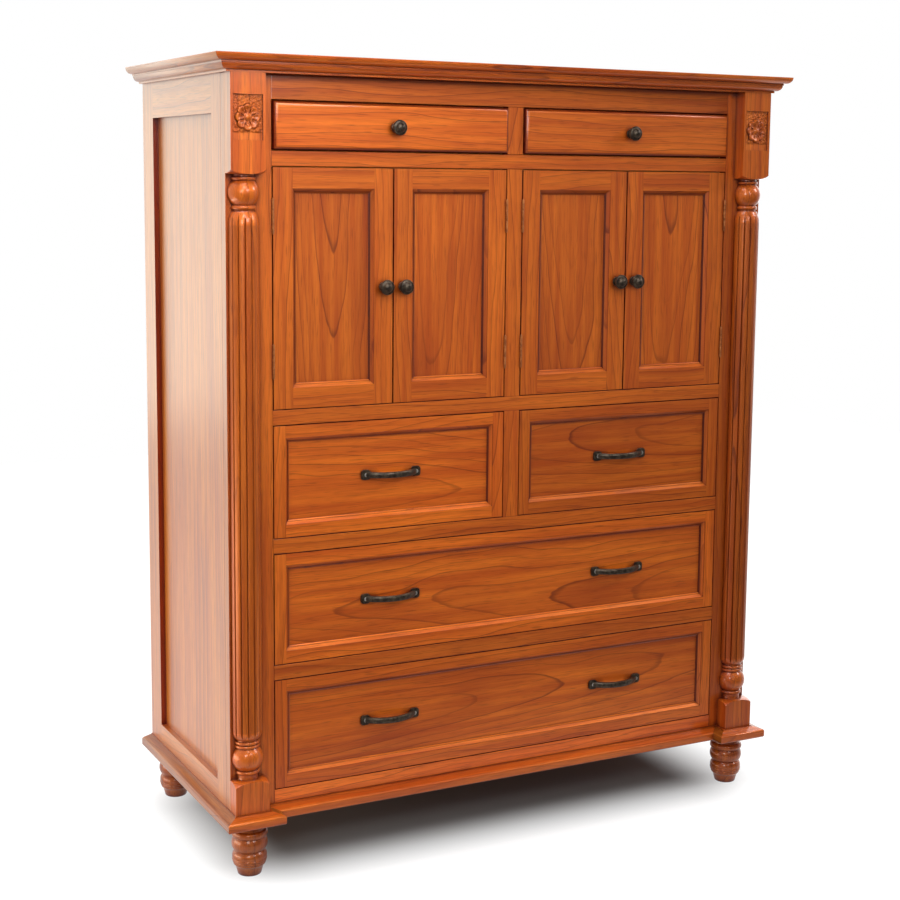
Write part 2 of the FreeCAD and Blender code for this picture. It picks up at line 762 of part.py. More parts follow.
for side_name, side in (("left", -1), ("right", 1)):
    post_body = new_body(f"post_turning_{side_name}")
    lower_plan = outline(post_body, f"lower_block_{side_name}", "XY_Plane", block_plan)
    pad(post_body, f"lower_block_pad_{side_name}", lower_plan, s.lower_block_height)
    upper_plan = outline(post_body, f"upper_block_{side_name}", "XY_Plane", block_plan, level=block_z)
    pad(post_body, f"upper_block_pad_{side_name}", upper_plan, s.upper_block_height)
    low_cut = outline(
        post_body, f"lower_shoulder_{side_name}", "XZ_Plane", lower_shoulder, hollows={0: s.shoulder_rise}
    )
    revolve(post_body, f"lower_shoulder_cut_{side_name}", "Groove", low_cut, 360)
    high_cut = outline(
        post_body, f"upper_shoulder_{side_name}", "XZ_Plane", upper_shoulder, hollows={2: s.shoulder_rise}
    )
    revolve(post_body, f"upper_shoulder_cut_{side_name}", "Groove", high_cut, 360)
    post_sketch = outline(post_body, f"post_profile_{side_name}", "XZ_Plane", post_profile, bulges=post_bulges)
    revolve(post_body, f"post_turned_{side_name}", "Revolution", post_sketch, 180)
    valley_sketch = outline(
        post_body,
        f"valley_plan_{side_name}",
        "XY_Plane",
        valley_plan,
        hollows={0: s.reed_rise, 2: s.reed_rise},
        level=lower_shaft,
    )
    valley = post_body.newObject("PartDesign::Pocket", f"valley_{side_name}")
    valley.Profile = valley_sketch
    valley.Reversed = True
    bind(valley, "Length", upper_shaft - lower_shaft)
    doc.recompute()
    reeds = post_body.newObject("PartDesign::PolarPattern", f"reeds_{side_name}")
    reeds.Originals = [valley]
    reeds.Axis = (origin_part(post_body, "Z_Axis"), [""])
    reeds.Angle = 180
    reeds.Occurrences = REED_COUNT // 2 + 1
    post_body.Tip = reeds
    doc.recompute()
    signed_x = post_x if side > 0 else -post_x
    move(post_body, signed_x, face_y, case_z)
    floor_y = face_y - s.post_projection + s.field_depth
    field_x = (signed_x - s.field_width / 2, signed_x + s.field_width / 2)
    field_z = (case_top - s.field_top_drop - s.field_height, case_top - s.field_top_drop)
    field_span = (face_y - s.post_projection - s.overrun, floor_y)
    node(f"corner_post_{side_name}", cut(f"post_{side_name}", post_body, box(
        f"field_{side_name}", field_x, field_span, field_z
    )))

    # The rosette: petals round a button, standing on the sunk field.
    field_middle = (field_z[0] + field_z[1]) / 2
    petal_reach = s.rosette_radius - s.petal_length / 2
    petals = []
    for number in range(PETAL_COUNT + 1):
        petal = doc.addObject("Part::Ellipsoid", f"petal_{side_name}_{number}")
        if number == PETAL_COUNT:
            sizes = (s.button_radius, s.button_radius, s.button_relief)
            spot = (signed_x, floor_y, field_middle)
        else:
            angle = 2 * math.pi * number / PETAL_COUNT
            turn(petal, (0, 1, 0), math.degrees(angle))
            sizes = (s.petal_width / 2, s.petal_length / 2, s.petal_relief)
            across = signed_x + petal_reach * math.cos(angle)
            spot = (across, floor_y, field_middle - petal_reach * math.sin(angle))
        for prop, size in zip(("Radius1", "Radius2", "Radius3"), sizes):
            bind(petal, prop, size)
        move(petal, *spot)
        petals.append(petal)
    flower = doc.addObject("Part::Common", f"rosette_{side_name}")
    flower.Base = fuse(f"petals_{side_name}", *petals)
    flower.Tool = box(f"rosette_front_{side_name}", field_x, (floor_y - s.field_width, floor_y), field_z)
    rosette_pieces.append(flower)
node("rosettes", *rosette_pieces)

# Case bottom, dust boards, partitions, drawer guides, shelves and door stops.
boards = []
for row_name, row in openings.items():
    board_span = (row[0] - s.board_thickness, row[0])
    boards.append(box(f"board_{row_name}", (-inner_x, inner_x), inside_span, board_span))
node("dust_boards", *boards)
ceilings = {
    "middle": openings["doors"][0] - s.board_thickness,
    "doors": openings["top"][0] - s.board_thickness,
    "top": case_top,
}
partition_x = s.partition_thickness / 2
partition_pieces = []
for row_name in SPLIT_ROWS:
    partition_span = (openings[row_name][0], ceilings[row_name])
    partition_pieces.append(
        box(f"partition_{row_name}", (-partition_x, partition_x), inside_span, partition_span)
    )
node("centre_partitions", *partition_pieces)
guide_start = open_x - s.drawer_side_gap + s.guide_clearance
guide_inner = muntin_x + s.drawer_side_gap - s.guide_clearance
guides = []
for row_name in ("lower", "upper", "middle", "top"):
    guide_span = (openings[row_name][0], openings[row_name][0] + s.guide_height)
    for side_name, side in (("left", -1), ("right", 1)):
        outer_run = side_span(side, guide_start, guide_start + s.guide_width)
        guides.append(box(f"guide_{row_name}_{side_name}", outer_run, inside_span, guide_span))
        if row_name in SPLIT_ROWS:
            inner_run = side_span(side, partition_x, guide_inner)
            guides.append(box(f"guide_{row_name}_inner_{side_name}", inner_run, inside_span, guide_span))
node("drawer_guides", *guides)
shelf_low = (openings["doors"][0] + ceilings["doors"] - s.board_thickness) / 2
shelf_span = (shelf_low, shelf_low + s.board_thickness)
shelf_y = (frame_back + s.shelf_setback, back_front - s.shelf_clearance)
shelves = []
cleats = []
stops = []
for side_name, side in (("left", -1), ("right", 1)):
    shelf_x = side_span(side, partition_x + s.shelf_clearance, inner_x - s.shelf_clearance)
    shelves.append(box(f"shelf_{side_name}", shelf_x, shelf_y, shelf_span))
    cleat_span = (shelf_low - s.cleat_size, shelf_low)
    outer_cleat = side_span(side, inner_x - s.cleat_size, inner_x)
    inner_cleat = side_span(side, partition_x, partition_x + s.cleat_size)
    cleats.append(box(f"cleat_outer_{side_name}", outer_cleat, shelf_y, cleat_span))
    cleats.append(box(f"cleat_inner_{side_name}", inner_cleat, shelf_y, cleat_span))
    stop_x = side_span(side, muntin_x, open_x)
    stop_y = (frame_back, frame_back + s.stop_depth)
    stop_span = (openings["doors"][1] - s.stop_drop, ceilings["doors"])
    stops.append(box(f"stop_{side_name}", stop_x, stop_y, stop_span))
node("cupboard_shelves", *shelves)
node("shelf_cleats", *cleats)
node("door_stops", *stops)

# Hardware shared by doors and drawers.
knob_profile = [
    (ZERO, ZERO),
    (s.knob_seat_radius, ZERO),
    (s.knob_seat_radius, s.knob_seat_thickness),
    (s.knob_neck_radius, s.knob_seat_thickness + s.knob_rim_bulge),
    (s.knob_neck_radius, s.knob_neck_length),
    (s.knob_head_radius, s.knob_head_level),
    (s.knob_head_radius, s.knob_rim_level),
    (s.knob_button_radius, s.knob_button_level),
    (s.knob_tip_radius, s.knob_length),
    (ZERO, s.knob_length),
]
knob_bulges = {5: s.knob_rim_bulge, 7: s.knob_button_bulge}


def knob(name, x, y, z):
    """A turned knob standing out to the front from the point x, y, z."""
    body = new_body(f"{name}_turning")
    sketch = outline(body, f"{name}_profile", "XZ_Plane", knob_profile, bulges=knob_bulges)
    revolve(body, f"{name}_turned", "Revolution", sketch, 360)
    turn(body, (1, 0, 0), 90)
    move(body, x, y, z)
    return body


def pull(name, x, y, z):
    """A bowed strap between two plates with rounded corners, and a screw head on each plate."""
    reach = s.pull_centres / 2
    bow_radius = (reach * reach + s.pull_bow * s.pull_bow) / (s.pull_bow + s.pull_bow)
    strap_body = new_body(f"{name}_strap")
    strap_run = (bow_radius - s.pull_strap_thickness / 2, bow_radius + s.pull_strap_thickness / 2)
    strap_rise = (-s.pull_strap_height / 2, s.pull_strap_height / 2)
    crowns = {1: s.pull_strap_crown, 3: s.pull_strap_crown}
    section = outline(strap_body, f"{name}_section", "XZ_Plane", rectangle(strap_run, strap_rise), bulges=crowns)
    strap = revolve(strap_body, f"{name}_bow", "Revolution", section, 90)
    strap.Midplane = True
    strap.setExpression("Angle", f"2 * asin({reach.text} / {bow_radius.text})")
    turn(strap_body, (0, 0, 1), -90)
    move(strap_body, x, y - s.pull_bow + bow_radius, z)
    behind_y = (y, y + s.pull_bow)
    behind_x = (x - s.pull_centres, x + s.pull_centres)
    behind_z = (z - s.pull_bow, z + s.pull_bow)
    pieces = [cut(f"{name}_bar", strap_body, box(f"{name}_behind", behind_x, behind_y, behind_z))]
    for end, spot in (("a", x - reach), ("b", x + reach)):
        plate = new_body(f"{name}_plate_{end}")
        plate_span = (-s.pull_plate_size / 2, s.pull_plate_size / 2)
        plate_sketch = outline(plate, f"{name}_plate_plan_{end}", "XZ_Plane", rectangle(plate_span, plate_span))
        plate_pad = pad(plate, f"{name}_plate_pad_{end}", plate_sketch, s.pull_plate_thickness)
        middle_y = -s.pull_plate_thickness.value / 2
        round_edges(
            plate,
            f"{name}_plate_corners_{end}",
            plate_pad,
            s.pull_plate_rounding,
            lambda corner: abs(corner.y - middle_y) < flat,
        )
        move(plate, spot, y, z)
        screw = doc.addObject("Part::Cylinder", f"{name}_screw_{end}")
        bind(screw, "Radius", s.pull_screw_radius)
        bind(screw, "Height", s.pull_screw_height)
        turn(screw, (1, 0, 0), 90)
        move(screw, spot, y, z)
        pieces.extend((plate, screw))
    return fuse(name, *pieces)


hinge_y = face_y - s.barrel_radius - s.barrel_standoff
knuckle_length = (s.hinge_length - s.knuckle_gap - s.knuckle_gap) / 3
root_y = (hinge_y + (s.pin_radius + s.barrel_radius) / 2, face_y + s.leaf_setback)
plate_y = (face_y + s.leaf_setback, face_y + s.leaf_depth)


def hinge_leaf(name, x, low, plate_x, knuckles, bore):
    """A flat leaf in the gap beside a door, with its knuckles rolled round the pin."""
    pieces = [box(f"{name}_plate", plate_x, plate_y, (low, low + s.hinge_length))]
    for number in knuckles:
        start = low + (knuckle_length + s.knuckle_gap) * number
        span = (start, start + knuckle_length)
        pieces.append(box(f"{name}_root_{number}", plate_x, root_y, span))
        pieces.append(cylinder(f"{name}_knuckle_{number}", x, hinge_y, span, s.barrel_radius))
    hole_span = (low - s.overrun, low + s.hinge_length + s.overrun)
    hole = cylinder(f"{name}_bore", x, hinge_y, hole_span, bore)
    return cut(name, fuse(f"{name}_solid", *pieces), hole)


# Doors: each hangs on two butt hinges at its outer or inner edge.
row = openings["doors"]
door_span = (row[0] + s.door_gap, row[1] - s.door_gap)
door_y = (face_y, face_y + s.door_thickness)
door_panel_y = (face_y + s.panel_recess, face_y + s.panel_recess + s.panel_thickness)
hinge_lows = (
    door_span[0] + s.hinge_end_distance - s.hinge_length / 2,
    door_span[1] - s.hinge_end_distance - s.hinge_length / 2,
)
fixed_leaves = []
pins = []
for name, side, place in (
    ("door_outer_left", -1, "outer"),
    ("door_inner_left", -1, "inner"),
    ("door_inner_right", 1, "inner"),
    ("door_outer_right", 1, "outer"),
):
    if place == "outer":
        door_x = side_span(side, bay_x + s.meeting_gap / 2, open_x - s.hinge_gap)
    else:
        door_x = side_span(side, muntin_x + s.hinge_gap, bay_x - s.meeting_gap / 2)
    hinged_left = (side < 0) == (place == "outer")
    frame_pieces, board, panel_run, panel_rise = framed_panel(
        name,
        "front",
        door_x,
        door_span,
        door_y,
        door_panel_y,
        (s.door_stile_width, s.door_stile_width),
        (s.door_stile_width, s.door_stile_width),
    )
    node(f"{name}_frame", *frame_pieces, *sunk_moulding(name, panel_run, panel_rise, door_panel_y[0]))
    node(f"{name}_panel", board)
    knob_x = door_x[1] - s.knob_edge_distance if hinged_left else door_x[0] + s.knob_edge_distance
    node(f"{name}_knob", knob(f"{name}_pull", knob_x, face_y, (row[0] + row[1]) / 2))
    if hinged_left:
        hinge_x = door_x[0] - s.hinge_gap / 2
        fixed_x = (door_x[0] - s.hinge_gap, door_x[0] - s.hinge_gap + s.leaf_thickness)
        moving_x = (door_x[0] - s.leaf_thickness, door_x[0])
    else:
        hinge_x = door_x[1] + s.hinge_gap / 2
        fixed_x = (door_x[1] + s.hinge_gap - s.leaf_thickness, door_x[1] + s.hinge_gap)
        moving_x = (door_x[1], door_x[1] + s.leaf_thickness)
    moving_leaves = []
    for number, low in enumerate(hinge_lows):
        fixed_leaves.append(
            hinge_leaf(f"{name}_fixed_{number}", hinge_x, low, fixed_x, (0, 2), s.pin_radius)
        )
        bore = s.pin_radius + s.pin_clearance
        moving_leaves.append(hinge_leaf(f"{name}_moving_{number}", hinge_x, low, moving_x, (1,), bore))
        pin_span = (low - s.pin_tip_length, low + s.hinge_length + s.pin_tip_length)
        pins.append(cylinder(f"{name}_pin_{number}", hinge_x, hinge_y, pin_span, s.pin_radius))
    node(f"{name}_hinge_leaves", *moving_leaves)
node("hinge_leaves_fixed", *fixed_leaves)
node("hinge_pins", *pins)


# Drawers: a show front on a grooved box that runs on the board below it.
def drawer_box(name, run, low, height):
    y = (frame_back, back_front - s.stop_clearance)
    z = (low + s.drawer_lift, low + s.drawer_lift + height)
    x = (run[0] + s.drawer_side_gap, run[1] - s.drawer_side_gap)
    inner = (x[0] + s.drawer_wall, x[1] - s.drawer_wall)
    groove = s.tongue_length + s.panel_play
    bottom_z = (z[0] + s.drawer_bottom_inset, z[0] + s.drawer_bottom_inset + s.drawer_bottom_thickness)
    long_y = (y[0] - s.overrun, y[1] + s.overrun)
    long_x = (inner[0] - s.overrun, inner[1] + s.overrun)
    front_y = (y[0], y[0] + s.drawer_wall)
    rear_y = (y[1] - s.drawer_wall, y[1])
    left_groove = (inner[0] - groove, inner[0] + s.overrun)
    right_groove = (inner[1] - s.overrun, inner[1] + groove)
    front_groove = (front_y[1] - groove, front_y[1] + s.overrun)
    rear_groove = (rear_y[0] - s.overrun, rear_y[0] + groove)
    bottom_x = (inner[0] - s.tongue_length, inner[1] + s.tongue_length)
    bottom_y = (front_y[1] - s.tongue_length, rear_y[0] + s.tongue_length)
    node(
        f"{name}_box",
        grooved(f"{name}_side_left", ((x[0], inner[0]), y, z), (left_groove, long_y, bottom_z)),
        grooved(f"{name}_side_right", ((inner[1], x[1]), y, z), (right_groove, long_y, bottom_z)),
        grooved(f"{name}_inner_front", (inner, front_y, z), (long_x, front_groove, bottom_z)),
        grooved(f"{name}_rear", (inner, rear_y, z), (long_x, rear_groove, bottom_z)),
        box(f"{name}_bottom", bottom_x, bottom_y, bottom_z),
    )


left_bay = (-open_x, -muntin_x)
right_bay = (muntin_x, open_x)
full_bay = (-open_x, open_x)
for name, bay, row_name, pull_spots in (
    ("drawer_top_left", left_bay, "top", (-bay_x,)),
    ("drawer_top_right", right_bay, "top", (bay_x,)),
    ("drawer_middle_left", left_bay, "middle", (-bay_x,)),
    ("drawer_middle_right", right_bay, "middle", (bay_x,)),
    ("drawer_upper_wide", full_bay, "upper", (-bay_x, bay_x)),
    ("drawer_lower_wide", full_bay, "lower", (-bay_x, bay_x)),
):
    row = openings[row_name]
    front_x = (bay[0] + s.drawer_gap, bay[1] - s.drawer_gap)
    front_z = (row[0] + s.drawer_gap, row[1] - s.drawer_gap)
    middle_z = (row[0] + row[1]) / 2
    if row_name == "top":
        slab = new_body(f"{name}_slab")
        slab_plan = rectangle((ZERO, front_x[1] - front_x[0]), (ZERO, front_z[1] - front_z[0]))
        slab_sketch = outline(slab, f"{name}_outline", "XZ_Plane", slab_plan)
        slab_pad = pad(slab, f"{name}_pad", slab_sketch, s.frame_thickness + s.front_raise)
        show_y = -(s.frame_thickness + s.front_raise).value
        round_edges(
            slab,
            f"{name}_rounding",
            slab_pad,
            s.front_edge_radius,
            lambda spot: abs(spot.y - show_y) < flat,
        )
        move(slab, front_x[0], frame_back, front_z[0])
        node(f"{name}_front", slab)
        node(f"{name}_knob", knob(f"{name}_pull", pull_spots[0], face_y - s.front_raise, middle_z))
        drawer_box(name, bay, row[0], s.top_box_height)
        continue
    frame_pieces, board, panel_run, panel_rise = framed_panel(
        name,
        "front",
        front_x,
        front_z,
        frame_span,
        door_panel_y,
        (s.front_frame_width, s.front_frame_width),
        (s.front_frame_width, s.front_frame_width),
    )
    moulding = sunk_moulding(name, panel_run, panel_rise, door_panel_y[0])
    node(f"{name}_front", *frame_pieces, board, *moulding)
    pulls = [
        pull(f"{name}_handle_{number}", spot, door_panel_y[0], middle_z)
        for number, spot in enumerate(pull_spots)
    ]
    node(f"{name}_pull" if len(pulls) == 1 else f"{name}_pulls", *pulls)
    drawer_box(name, bay, row[0], s.drawer_box_height)

doc.recompute()
for item in doc.Objects:
    if "Invalid" in item.State or "Error" in item.State:
        raise RuntimeError(f"{item.Name} did not rebuild")
os.makedirs("parts", exist_ok=True)
for item in NODES:
    if item.Shape.isNull() or not item.Shape.isValid() or not item.Shape.Solids:
        raise RuntimeError(f"{item.Label} has no sound shape")
for item in NODES:
    item.Shape.exportStep(f"parts/{item.Label}.step")
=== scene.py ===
import math
from collections import namedtuple

import bpy
from mathutils import Matrix, Vector


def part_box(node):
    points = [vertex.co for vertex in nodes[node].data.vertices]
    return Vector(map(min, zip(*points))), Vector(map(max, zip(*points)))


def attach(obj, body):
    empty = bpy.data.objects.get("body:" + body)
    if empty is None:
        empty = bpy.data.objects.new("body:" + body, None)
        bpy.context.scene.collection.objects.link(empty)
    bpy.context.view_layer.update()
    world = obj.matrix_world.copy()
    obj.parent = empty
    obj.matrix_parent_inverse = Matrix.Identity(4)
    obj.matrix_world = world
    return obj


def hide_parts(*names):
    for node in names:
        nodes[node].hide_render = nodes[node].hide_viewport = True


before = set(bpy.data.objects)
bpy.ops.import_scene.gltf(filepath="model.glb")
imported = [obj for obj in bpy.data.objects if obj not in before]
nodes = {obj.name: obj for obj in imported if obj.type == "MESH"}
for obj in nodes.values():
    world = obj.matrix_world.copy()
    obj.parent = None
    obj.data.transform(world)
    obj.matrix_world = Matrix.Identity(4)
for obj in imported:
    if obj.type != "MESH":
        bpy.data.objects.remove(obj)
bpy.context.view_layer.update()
scene = bpy.context.scene
scene.view_settings.view_transform = "Standard"

# The photograph's camera: its place in metres, its angles in degrees and its picture in pixels.
CAMERA_PLACE = (-1.4456, -2.76555, 1.1906)
CAMERA_YAW = 27.891
CAMERA_PITCH = -7.621
CAMERA_ROLL = 0.6187
PICTURE_PIXELS = 900
FOCAL_PIXELS = 1656.67
CENTRE_PIXEL_X = 469.59
CENTRE_PIXEL_Y = 397.48
SENSOR_WIDTH = 36
VIEW_DEPTH = 50


def place_camera():
    """Puts the camera where the photograph was taken from, with the same angles and lens."""
    data = bpy.data.cameras.new("camera")
    camera = bpy.data.objects.new("camera", data)
    scene.collection.objects.link(camera)
    scene.camera = camera
    yaw, pitch, roll = (math.radians(angle) for angle in (CAMERA_YAW, CAMERA_PITCH, CAMERA_ROLL))
    forward = Vector((math.sin(yaw) * math.cos(pitch), math.cos(yaw) * math.cos(pitch), math.sin(pitch)))
    level = Vector((math.cos(yaw), -math.sin(yaw), 0))
    upright = level.cross(forward)
    right = level * math.cos(roll) + upright * math.sin(roll)
    up = upright * math.cos(roll) - level * math.sin(roll)
    turn = Matrix((right, up, -forward)).transposed().to_4x4()
    camera.matrix_world = Matrix.Translation(CAMERA_PLACE) @ turn
    data.sensor_width = SENSOR_WIDTH
    data.lens = FOCAL_PIXELS / PICTURE_PIXELS * SENSOR_WIDTH
    data.shift_x = (PICTURE_PIXELS / 2 - CENTRE_PIXEL_X) / PICTURE_PIXELS
    data.shift_y = (CENTRE_PIXEL_Y - PICTURE_PIXELS / 2) / PICTURE_PIXELS
    data.clip_end = VIEW_DEPTH


place_camera()


def linear(red, green, blue):
    """A colour written in 0 to 255 display values, as scene-linear RGBA."""

    def decode(value):
        value /= 255
        return value / 12.92 if value <= 0.04045 else ((value + 0.055) / 1.055) ** 2.4

    return (decode(red), decode(green), decode(blue), 1)


class Nodes:
    """Short calls for building one node tree."""

    def __init__(self, tree):
        self.tree = tree
        tree.nodes.clear()

    def feed(self, socket, value):
        """Links a socket to another one, or sets its value."""
        if isinstance(value, bpy.types.NodeSocket):
            self.tree.links.new(value, socket)
        else:
            socket.default_value = value

    def add(self, kind, settings=None, **inputs):
        """A new node. The inputs have their sockets' names, with underscores for spaces."""
        node = self.tree.nodes.new(kind)
        for name, value in (settings or {}).items():
            setattr(node, name, value)
        for name, value in inputs.items():
            self.feed(node.inputs[name.replace("_", " ")], value)
        return node

    def setting(self, label, value, operation="ADD", kind="ShaderNodeMath"):
        """A value combined with a second one, which is set later on the node with this label."""
        node = self.add(kind, {"name": label, "operation": operation})
        self.feed(node.inputs[0], value)
        return node.outputs[0]

    def place(self):
        """The place on the object in metres."""
        return self.add("ShaderNodeTexCoord").outputs["Object"]

    def split(self, vector):
        """The X, Y and Z of a vector."""
        return self.add("ShaderNodeSeparateXYZ", None, Vector=vector).outputs

    def math(self, operation, *values):
        node = self.add("ShaderNodeMath", {"operation": operation})
        for socket, value in zip(node.inputs, values):
            self.feed(socket, value)
        return node.outputs[0]

    def distance(self, first, second):
        """How far away something is that lies first one way and second at right angles to it."""
        squares = [self.math("MULTIPLY", leg, leg) for leg in (first, second)]
        return self.math("SQRT", self.math("ADD", *squares))

    def spread(self, value, low, high, to_low=0.0, to_high=1.0):
        """Maps low..high smoothly to to_low..to_high."""
        smooth = {"interpolation_type": "SMOOTHSTEP"}
        limits = {"From_Min": low, "From_Max": high, "To_Min": to_low, "To_Max": to_high}
        return self.add("ShaderNodeMapRange", smooth, Value=value, **limits).outputs["Result"]

    def noise(self, vector, scale=1.0, detail=2.0, roughness=0.5):
        inputs = {"Vector": vector, "Scale": scale, "Detail": detail, "Roughness": roughness}
        return self.add("ShaderNodeTexNoise", None, **inputs).outputs["Fac"]

    def scaled(self, vector, factors):
        """A vector with its three parts each times a factor."""
        node = self.add("ShaderNodeVectorMath", {"operation": "MULTIPLY"})
        self.feed(node.inputs[0], vector)
        node.inputs[1].default_value = factors
        return node.outputs[0]

    def mix(self, factor, first, second):
        """A mix of two colours. Their sockets share names with others, so they go by number."""
        node = self.add("ShaderNodeMix", {"data_type": "RGBA"}, Factor=factor)
        self.feed(node.inputs[6], first)
        self.feed(node.inputs[7], second)
        return node.outputs[2]

    def bump(self, height, strength, distance):
        """The surface's normal, bent by a pattern of heights."""
        inputs = {"Height": height, "Strength": strength, "Distance": distance}
        return self.add("ShaderNodeBump", None, **inputs).outputs["Normal"]

    def finish(self, shader, kind="ShaderNodeOutputMaterial"):
        """Ends the tree with its shader."""
        self.add(kind, None, Surface=shader.outputs[0])


def new_material(name):
    """A material with an empty node tree, and the calls that fill the tree."""
    material = bpy.data.materials.new(name)
    material.use_nodes = True
    return material, Nodes(material.node_tree)


# Colours of the stained wood, and of the painted shade in its corners, which also stands for a dark staining
# there.
LIGHT_WOOD = linear(221, 113, 26)
MID_WOOD = linear(192, 85, 17)
RED_WOOD = linear(150, 54, 9)
RING_WOOD = linear(86, 28, 5)
CORNER_STAIN_AND_SHADE = linear(84, 18, 3)
SIDE_CORNER_STAIN_AND_SHADE = linear(136, 44, 8)

# How fine each pattern in the wood is, per metre across the board, through it and along it.
SWAY_SCALE = (6, 6, 2.6)
RIPPLE_SCALE = (60, 60, 12)
SPACING_SCALE = (14, 14, 0.4)
STREAK_SCALE = (70, 70, 2.5)
PATCH_SCALE = (9, 9, 3)
FIBRE_SCALE = (560, 560, 16)
PORE_SCALE = (620, 620, 26)

# Growth rings per metre, the sway of the trunk in metres, and what ripples and uneven growth add, in rings.
RINGS_PER_METRE = 96.0
SWAY = 0.05
RIPPLE = 0.2
UNEVEN_GROWTH = 1.2

# Where in a ring's width its dark line comes up and fades out, and its reddish band comes up.
LINE_RISE_SHARES = (0.86, 0.965)
LINE_FADE_SHARES = (0.972, 1.0)
BAND_RISE_SHARES = (0.25, 1.0)

# Between which values of its noise each pattern comes up. The rings differ by a chance value of their own.
STREAK_LIMITS = (0.3, 0.72)
PATCH_LIMITS = (0.42, 0.75)
FIBRE_LIMITS = (0.4, 0.68)
PORE_LIMITS = (0.58, 0.72)
RING_LIMITS = (0.2, 0.9)
BAND_LIMITS = (0.1, 0.9)

# How strongly each pattern colours the wood: from the weakest ring to the strongest, or in all.
RING_LINE_SHARES = (0.15, 1.0)
RING_BAND_SHARES = (0.05, 0.24)
RING_RED_SHARES = (0.1, 0.6)
LINE_SHARE = 0.6
FIBRE_SHARE = 0.26
PORE_SHARE = 0.36

# The painted corner shade, with its dark staining, is full where the first share of the light comes in past
# the surroundings, and gone where the second does. Surroundings count within the reach, in metres.
HOLLOW_LIMITS = (0.42, 0.9)
HOLLOW_SAMPLES = 4
STAIN_AND_SHADE_REACH = 0.014
SIDE_STAIN_AND_SHADE_REACH = 0.03

# Metallic sheen, weight of the varnish and its roughness. The fibres under the varnish throw light back in
# the wood's own colour, as a broad sheen.
FRONT_GLOSS = (0.3, 0.6, 0.15)
SATIN_GLOSS = (0.3, 0.3, 0.3)
SIDE_GLOSS = (0.0, 1.0, 0.3)
WOOD_IOR = 1.36
# The roughness goes from its first value to its second over this range of the fibres' noise.
FIBRE_RANGE = (0.2, 0.8)
WOOD_ROUGHNESS = (0.4, 0.52)

# Relief: how deep the pores and ring lines go as shares, and the strength and depth in metres of the bumps.
PORE_DEPTH_SHARE = 0.6
LINE_DEPTH_SHARE = 0.3
GRAIN_BUMP = (0.25, 0.0003)
STIPPLE_BUMP = (0.8, 0.0009)
# Dents: how fine they are, how much deeper than the grain, and over what height in metres they come up.
DENTS_PER_METRE = 240.0
DENT_DEPTH = 5.0
STIPPLE_FADE = 0.003


def growth_rings(n, local, across, through, along):
    """Rings round a pith near the board, bent by slow noise: the strength of the dark line and the reddish
    band at a place, and the chance value of the ring there."""
    sway = n.math("SUBTRACT", n.noise(n.scaled(local, SWAY_SCALE)), 0.5)
    wander = n.math("MULTIPLY", sway, SWAY)
    side = n.math("ADD", n.setting("aside", across), n.setting("lean", along, "MULTIPLY"))
    side = n.math("ADD", side, wander)
    under = n.math("ADD", n.setting("gap", through), n.setting("dive", along, "MULTIPLY"))
    under = n.math("ADD", under, n.math("MULTIPLY", wander, 0.5))
    ripple = n.noise(n.scaled(local, RIPPLE_SCALE))
    spacing = n.noise(n.scaled(local, SPACING_SCALE), detail=1.0)
    rings = n.math("MULTIPLY", n.distance(side, under), RINGS_PER_METRE)
    rings = n.math("ADD", rings, n.math("MULTIPLY", ripple, RIPPLE))
    rings = n.math("ADD", rings, n.math("MULTIPLY", spacing, UNEVEN_GROWTH))
    phase = n.math("FRACT", rings)
    count = n.math("FLOOR", rings)
    tone = n.add("ShaderNodeTexWhiteNoise", {"noise_dimensions": "1D"}, W=count).outputs["Value"]
    fade = n.spread(phase, *LINE_FADE_SHARES, 1.0, 0.0)
    line = n.math("MULTIPLY", n.spread(phase, *LINE_RISE_SHARES), fade)
    line = n.math("MULTIPLY", line, n.spread(tone, *RING_LIMITS, *RING_LINE_SHARES))
    band = n.spread(tone, *BAND_LIMITS, *RING_BAND_SHARES)
    band = n.math("MULTIPLY", n.spread(phase, *BAND_RISE_SHARES), band)
    return line, band, tone


def wood_colour(n, local, rings, fibre, pores):
    """Light and red patches with the growth rings, and fine fibres and pores along the grain."""
    line, band, ring_tone = rings
    streak = n.noise(n.scaled(local, STREAK_SCALE))
    patch = n.noise(n.scaled(local, PATCH_SCALE))
    colour = n.mix(n.spread(streak, *STREAK_LIMITS), LIGHT_WOOD, MID_WOOD)
    ring_red = n.spread(ring_tone, *RING_LIMITS, *RING_RED_SHARES)
    colour = n.mix(n.math("MULTIPLY", n.spread(patch, *PATCH_LIMITS), ring_red), colour, RED_WOOD)
    colour = n.mix(band, colour, RED_WOOD)
    colour = n.mix(n.math("MULTIPLY", line, LINE_SHARE), colour, RING_WOOD)
    colour = n.mix(n.math("MULTIPLY", n.spread(fibre, *FIBRE_LIMITS), FIBRE_SHARE), colour, RED_WOOD)
    return n.mix(n.math("MULTIPLY", pores, PORE_SHARE), colour, RING_WOOD)


def wood_relief(n, place, line, pores, stipple_from):
    """The fine bumps of the grain, with small dents punched all over above the height stipple_from."""
    sunk = n.math("MULTIPLY", pores, PORE_DEPTH_SHARE)
    sunk = n.math("ADD", sunk, n.math("MULTIPLY", line, LINE_DEPTH_SHARE))
    relief = n.math("SUBTRACT", 1.0, sunk)
    if not stipple_from:
        return n.bump(relief, *GRAIN_BUMP)
    cells = n.add("ShaderNodeTexVoronoi", None, Vector=place, Scale=DENTS_PER_METRE).outputs["Distance"]
    height = n.split(place)["Z"]
    depth = n.spread(height, stipple_from, stipple_from + STIPPLE_FADE, 0.0, DENT_DEPTH)
    return n.bump(n.math("ADD", n.math("MULTIPLY", cells, depth), relief), *STIPPLE_BUMP)


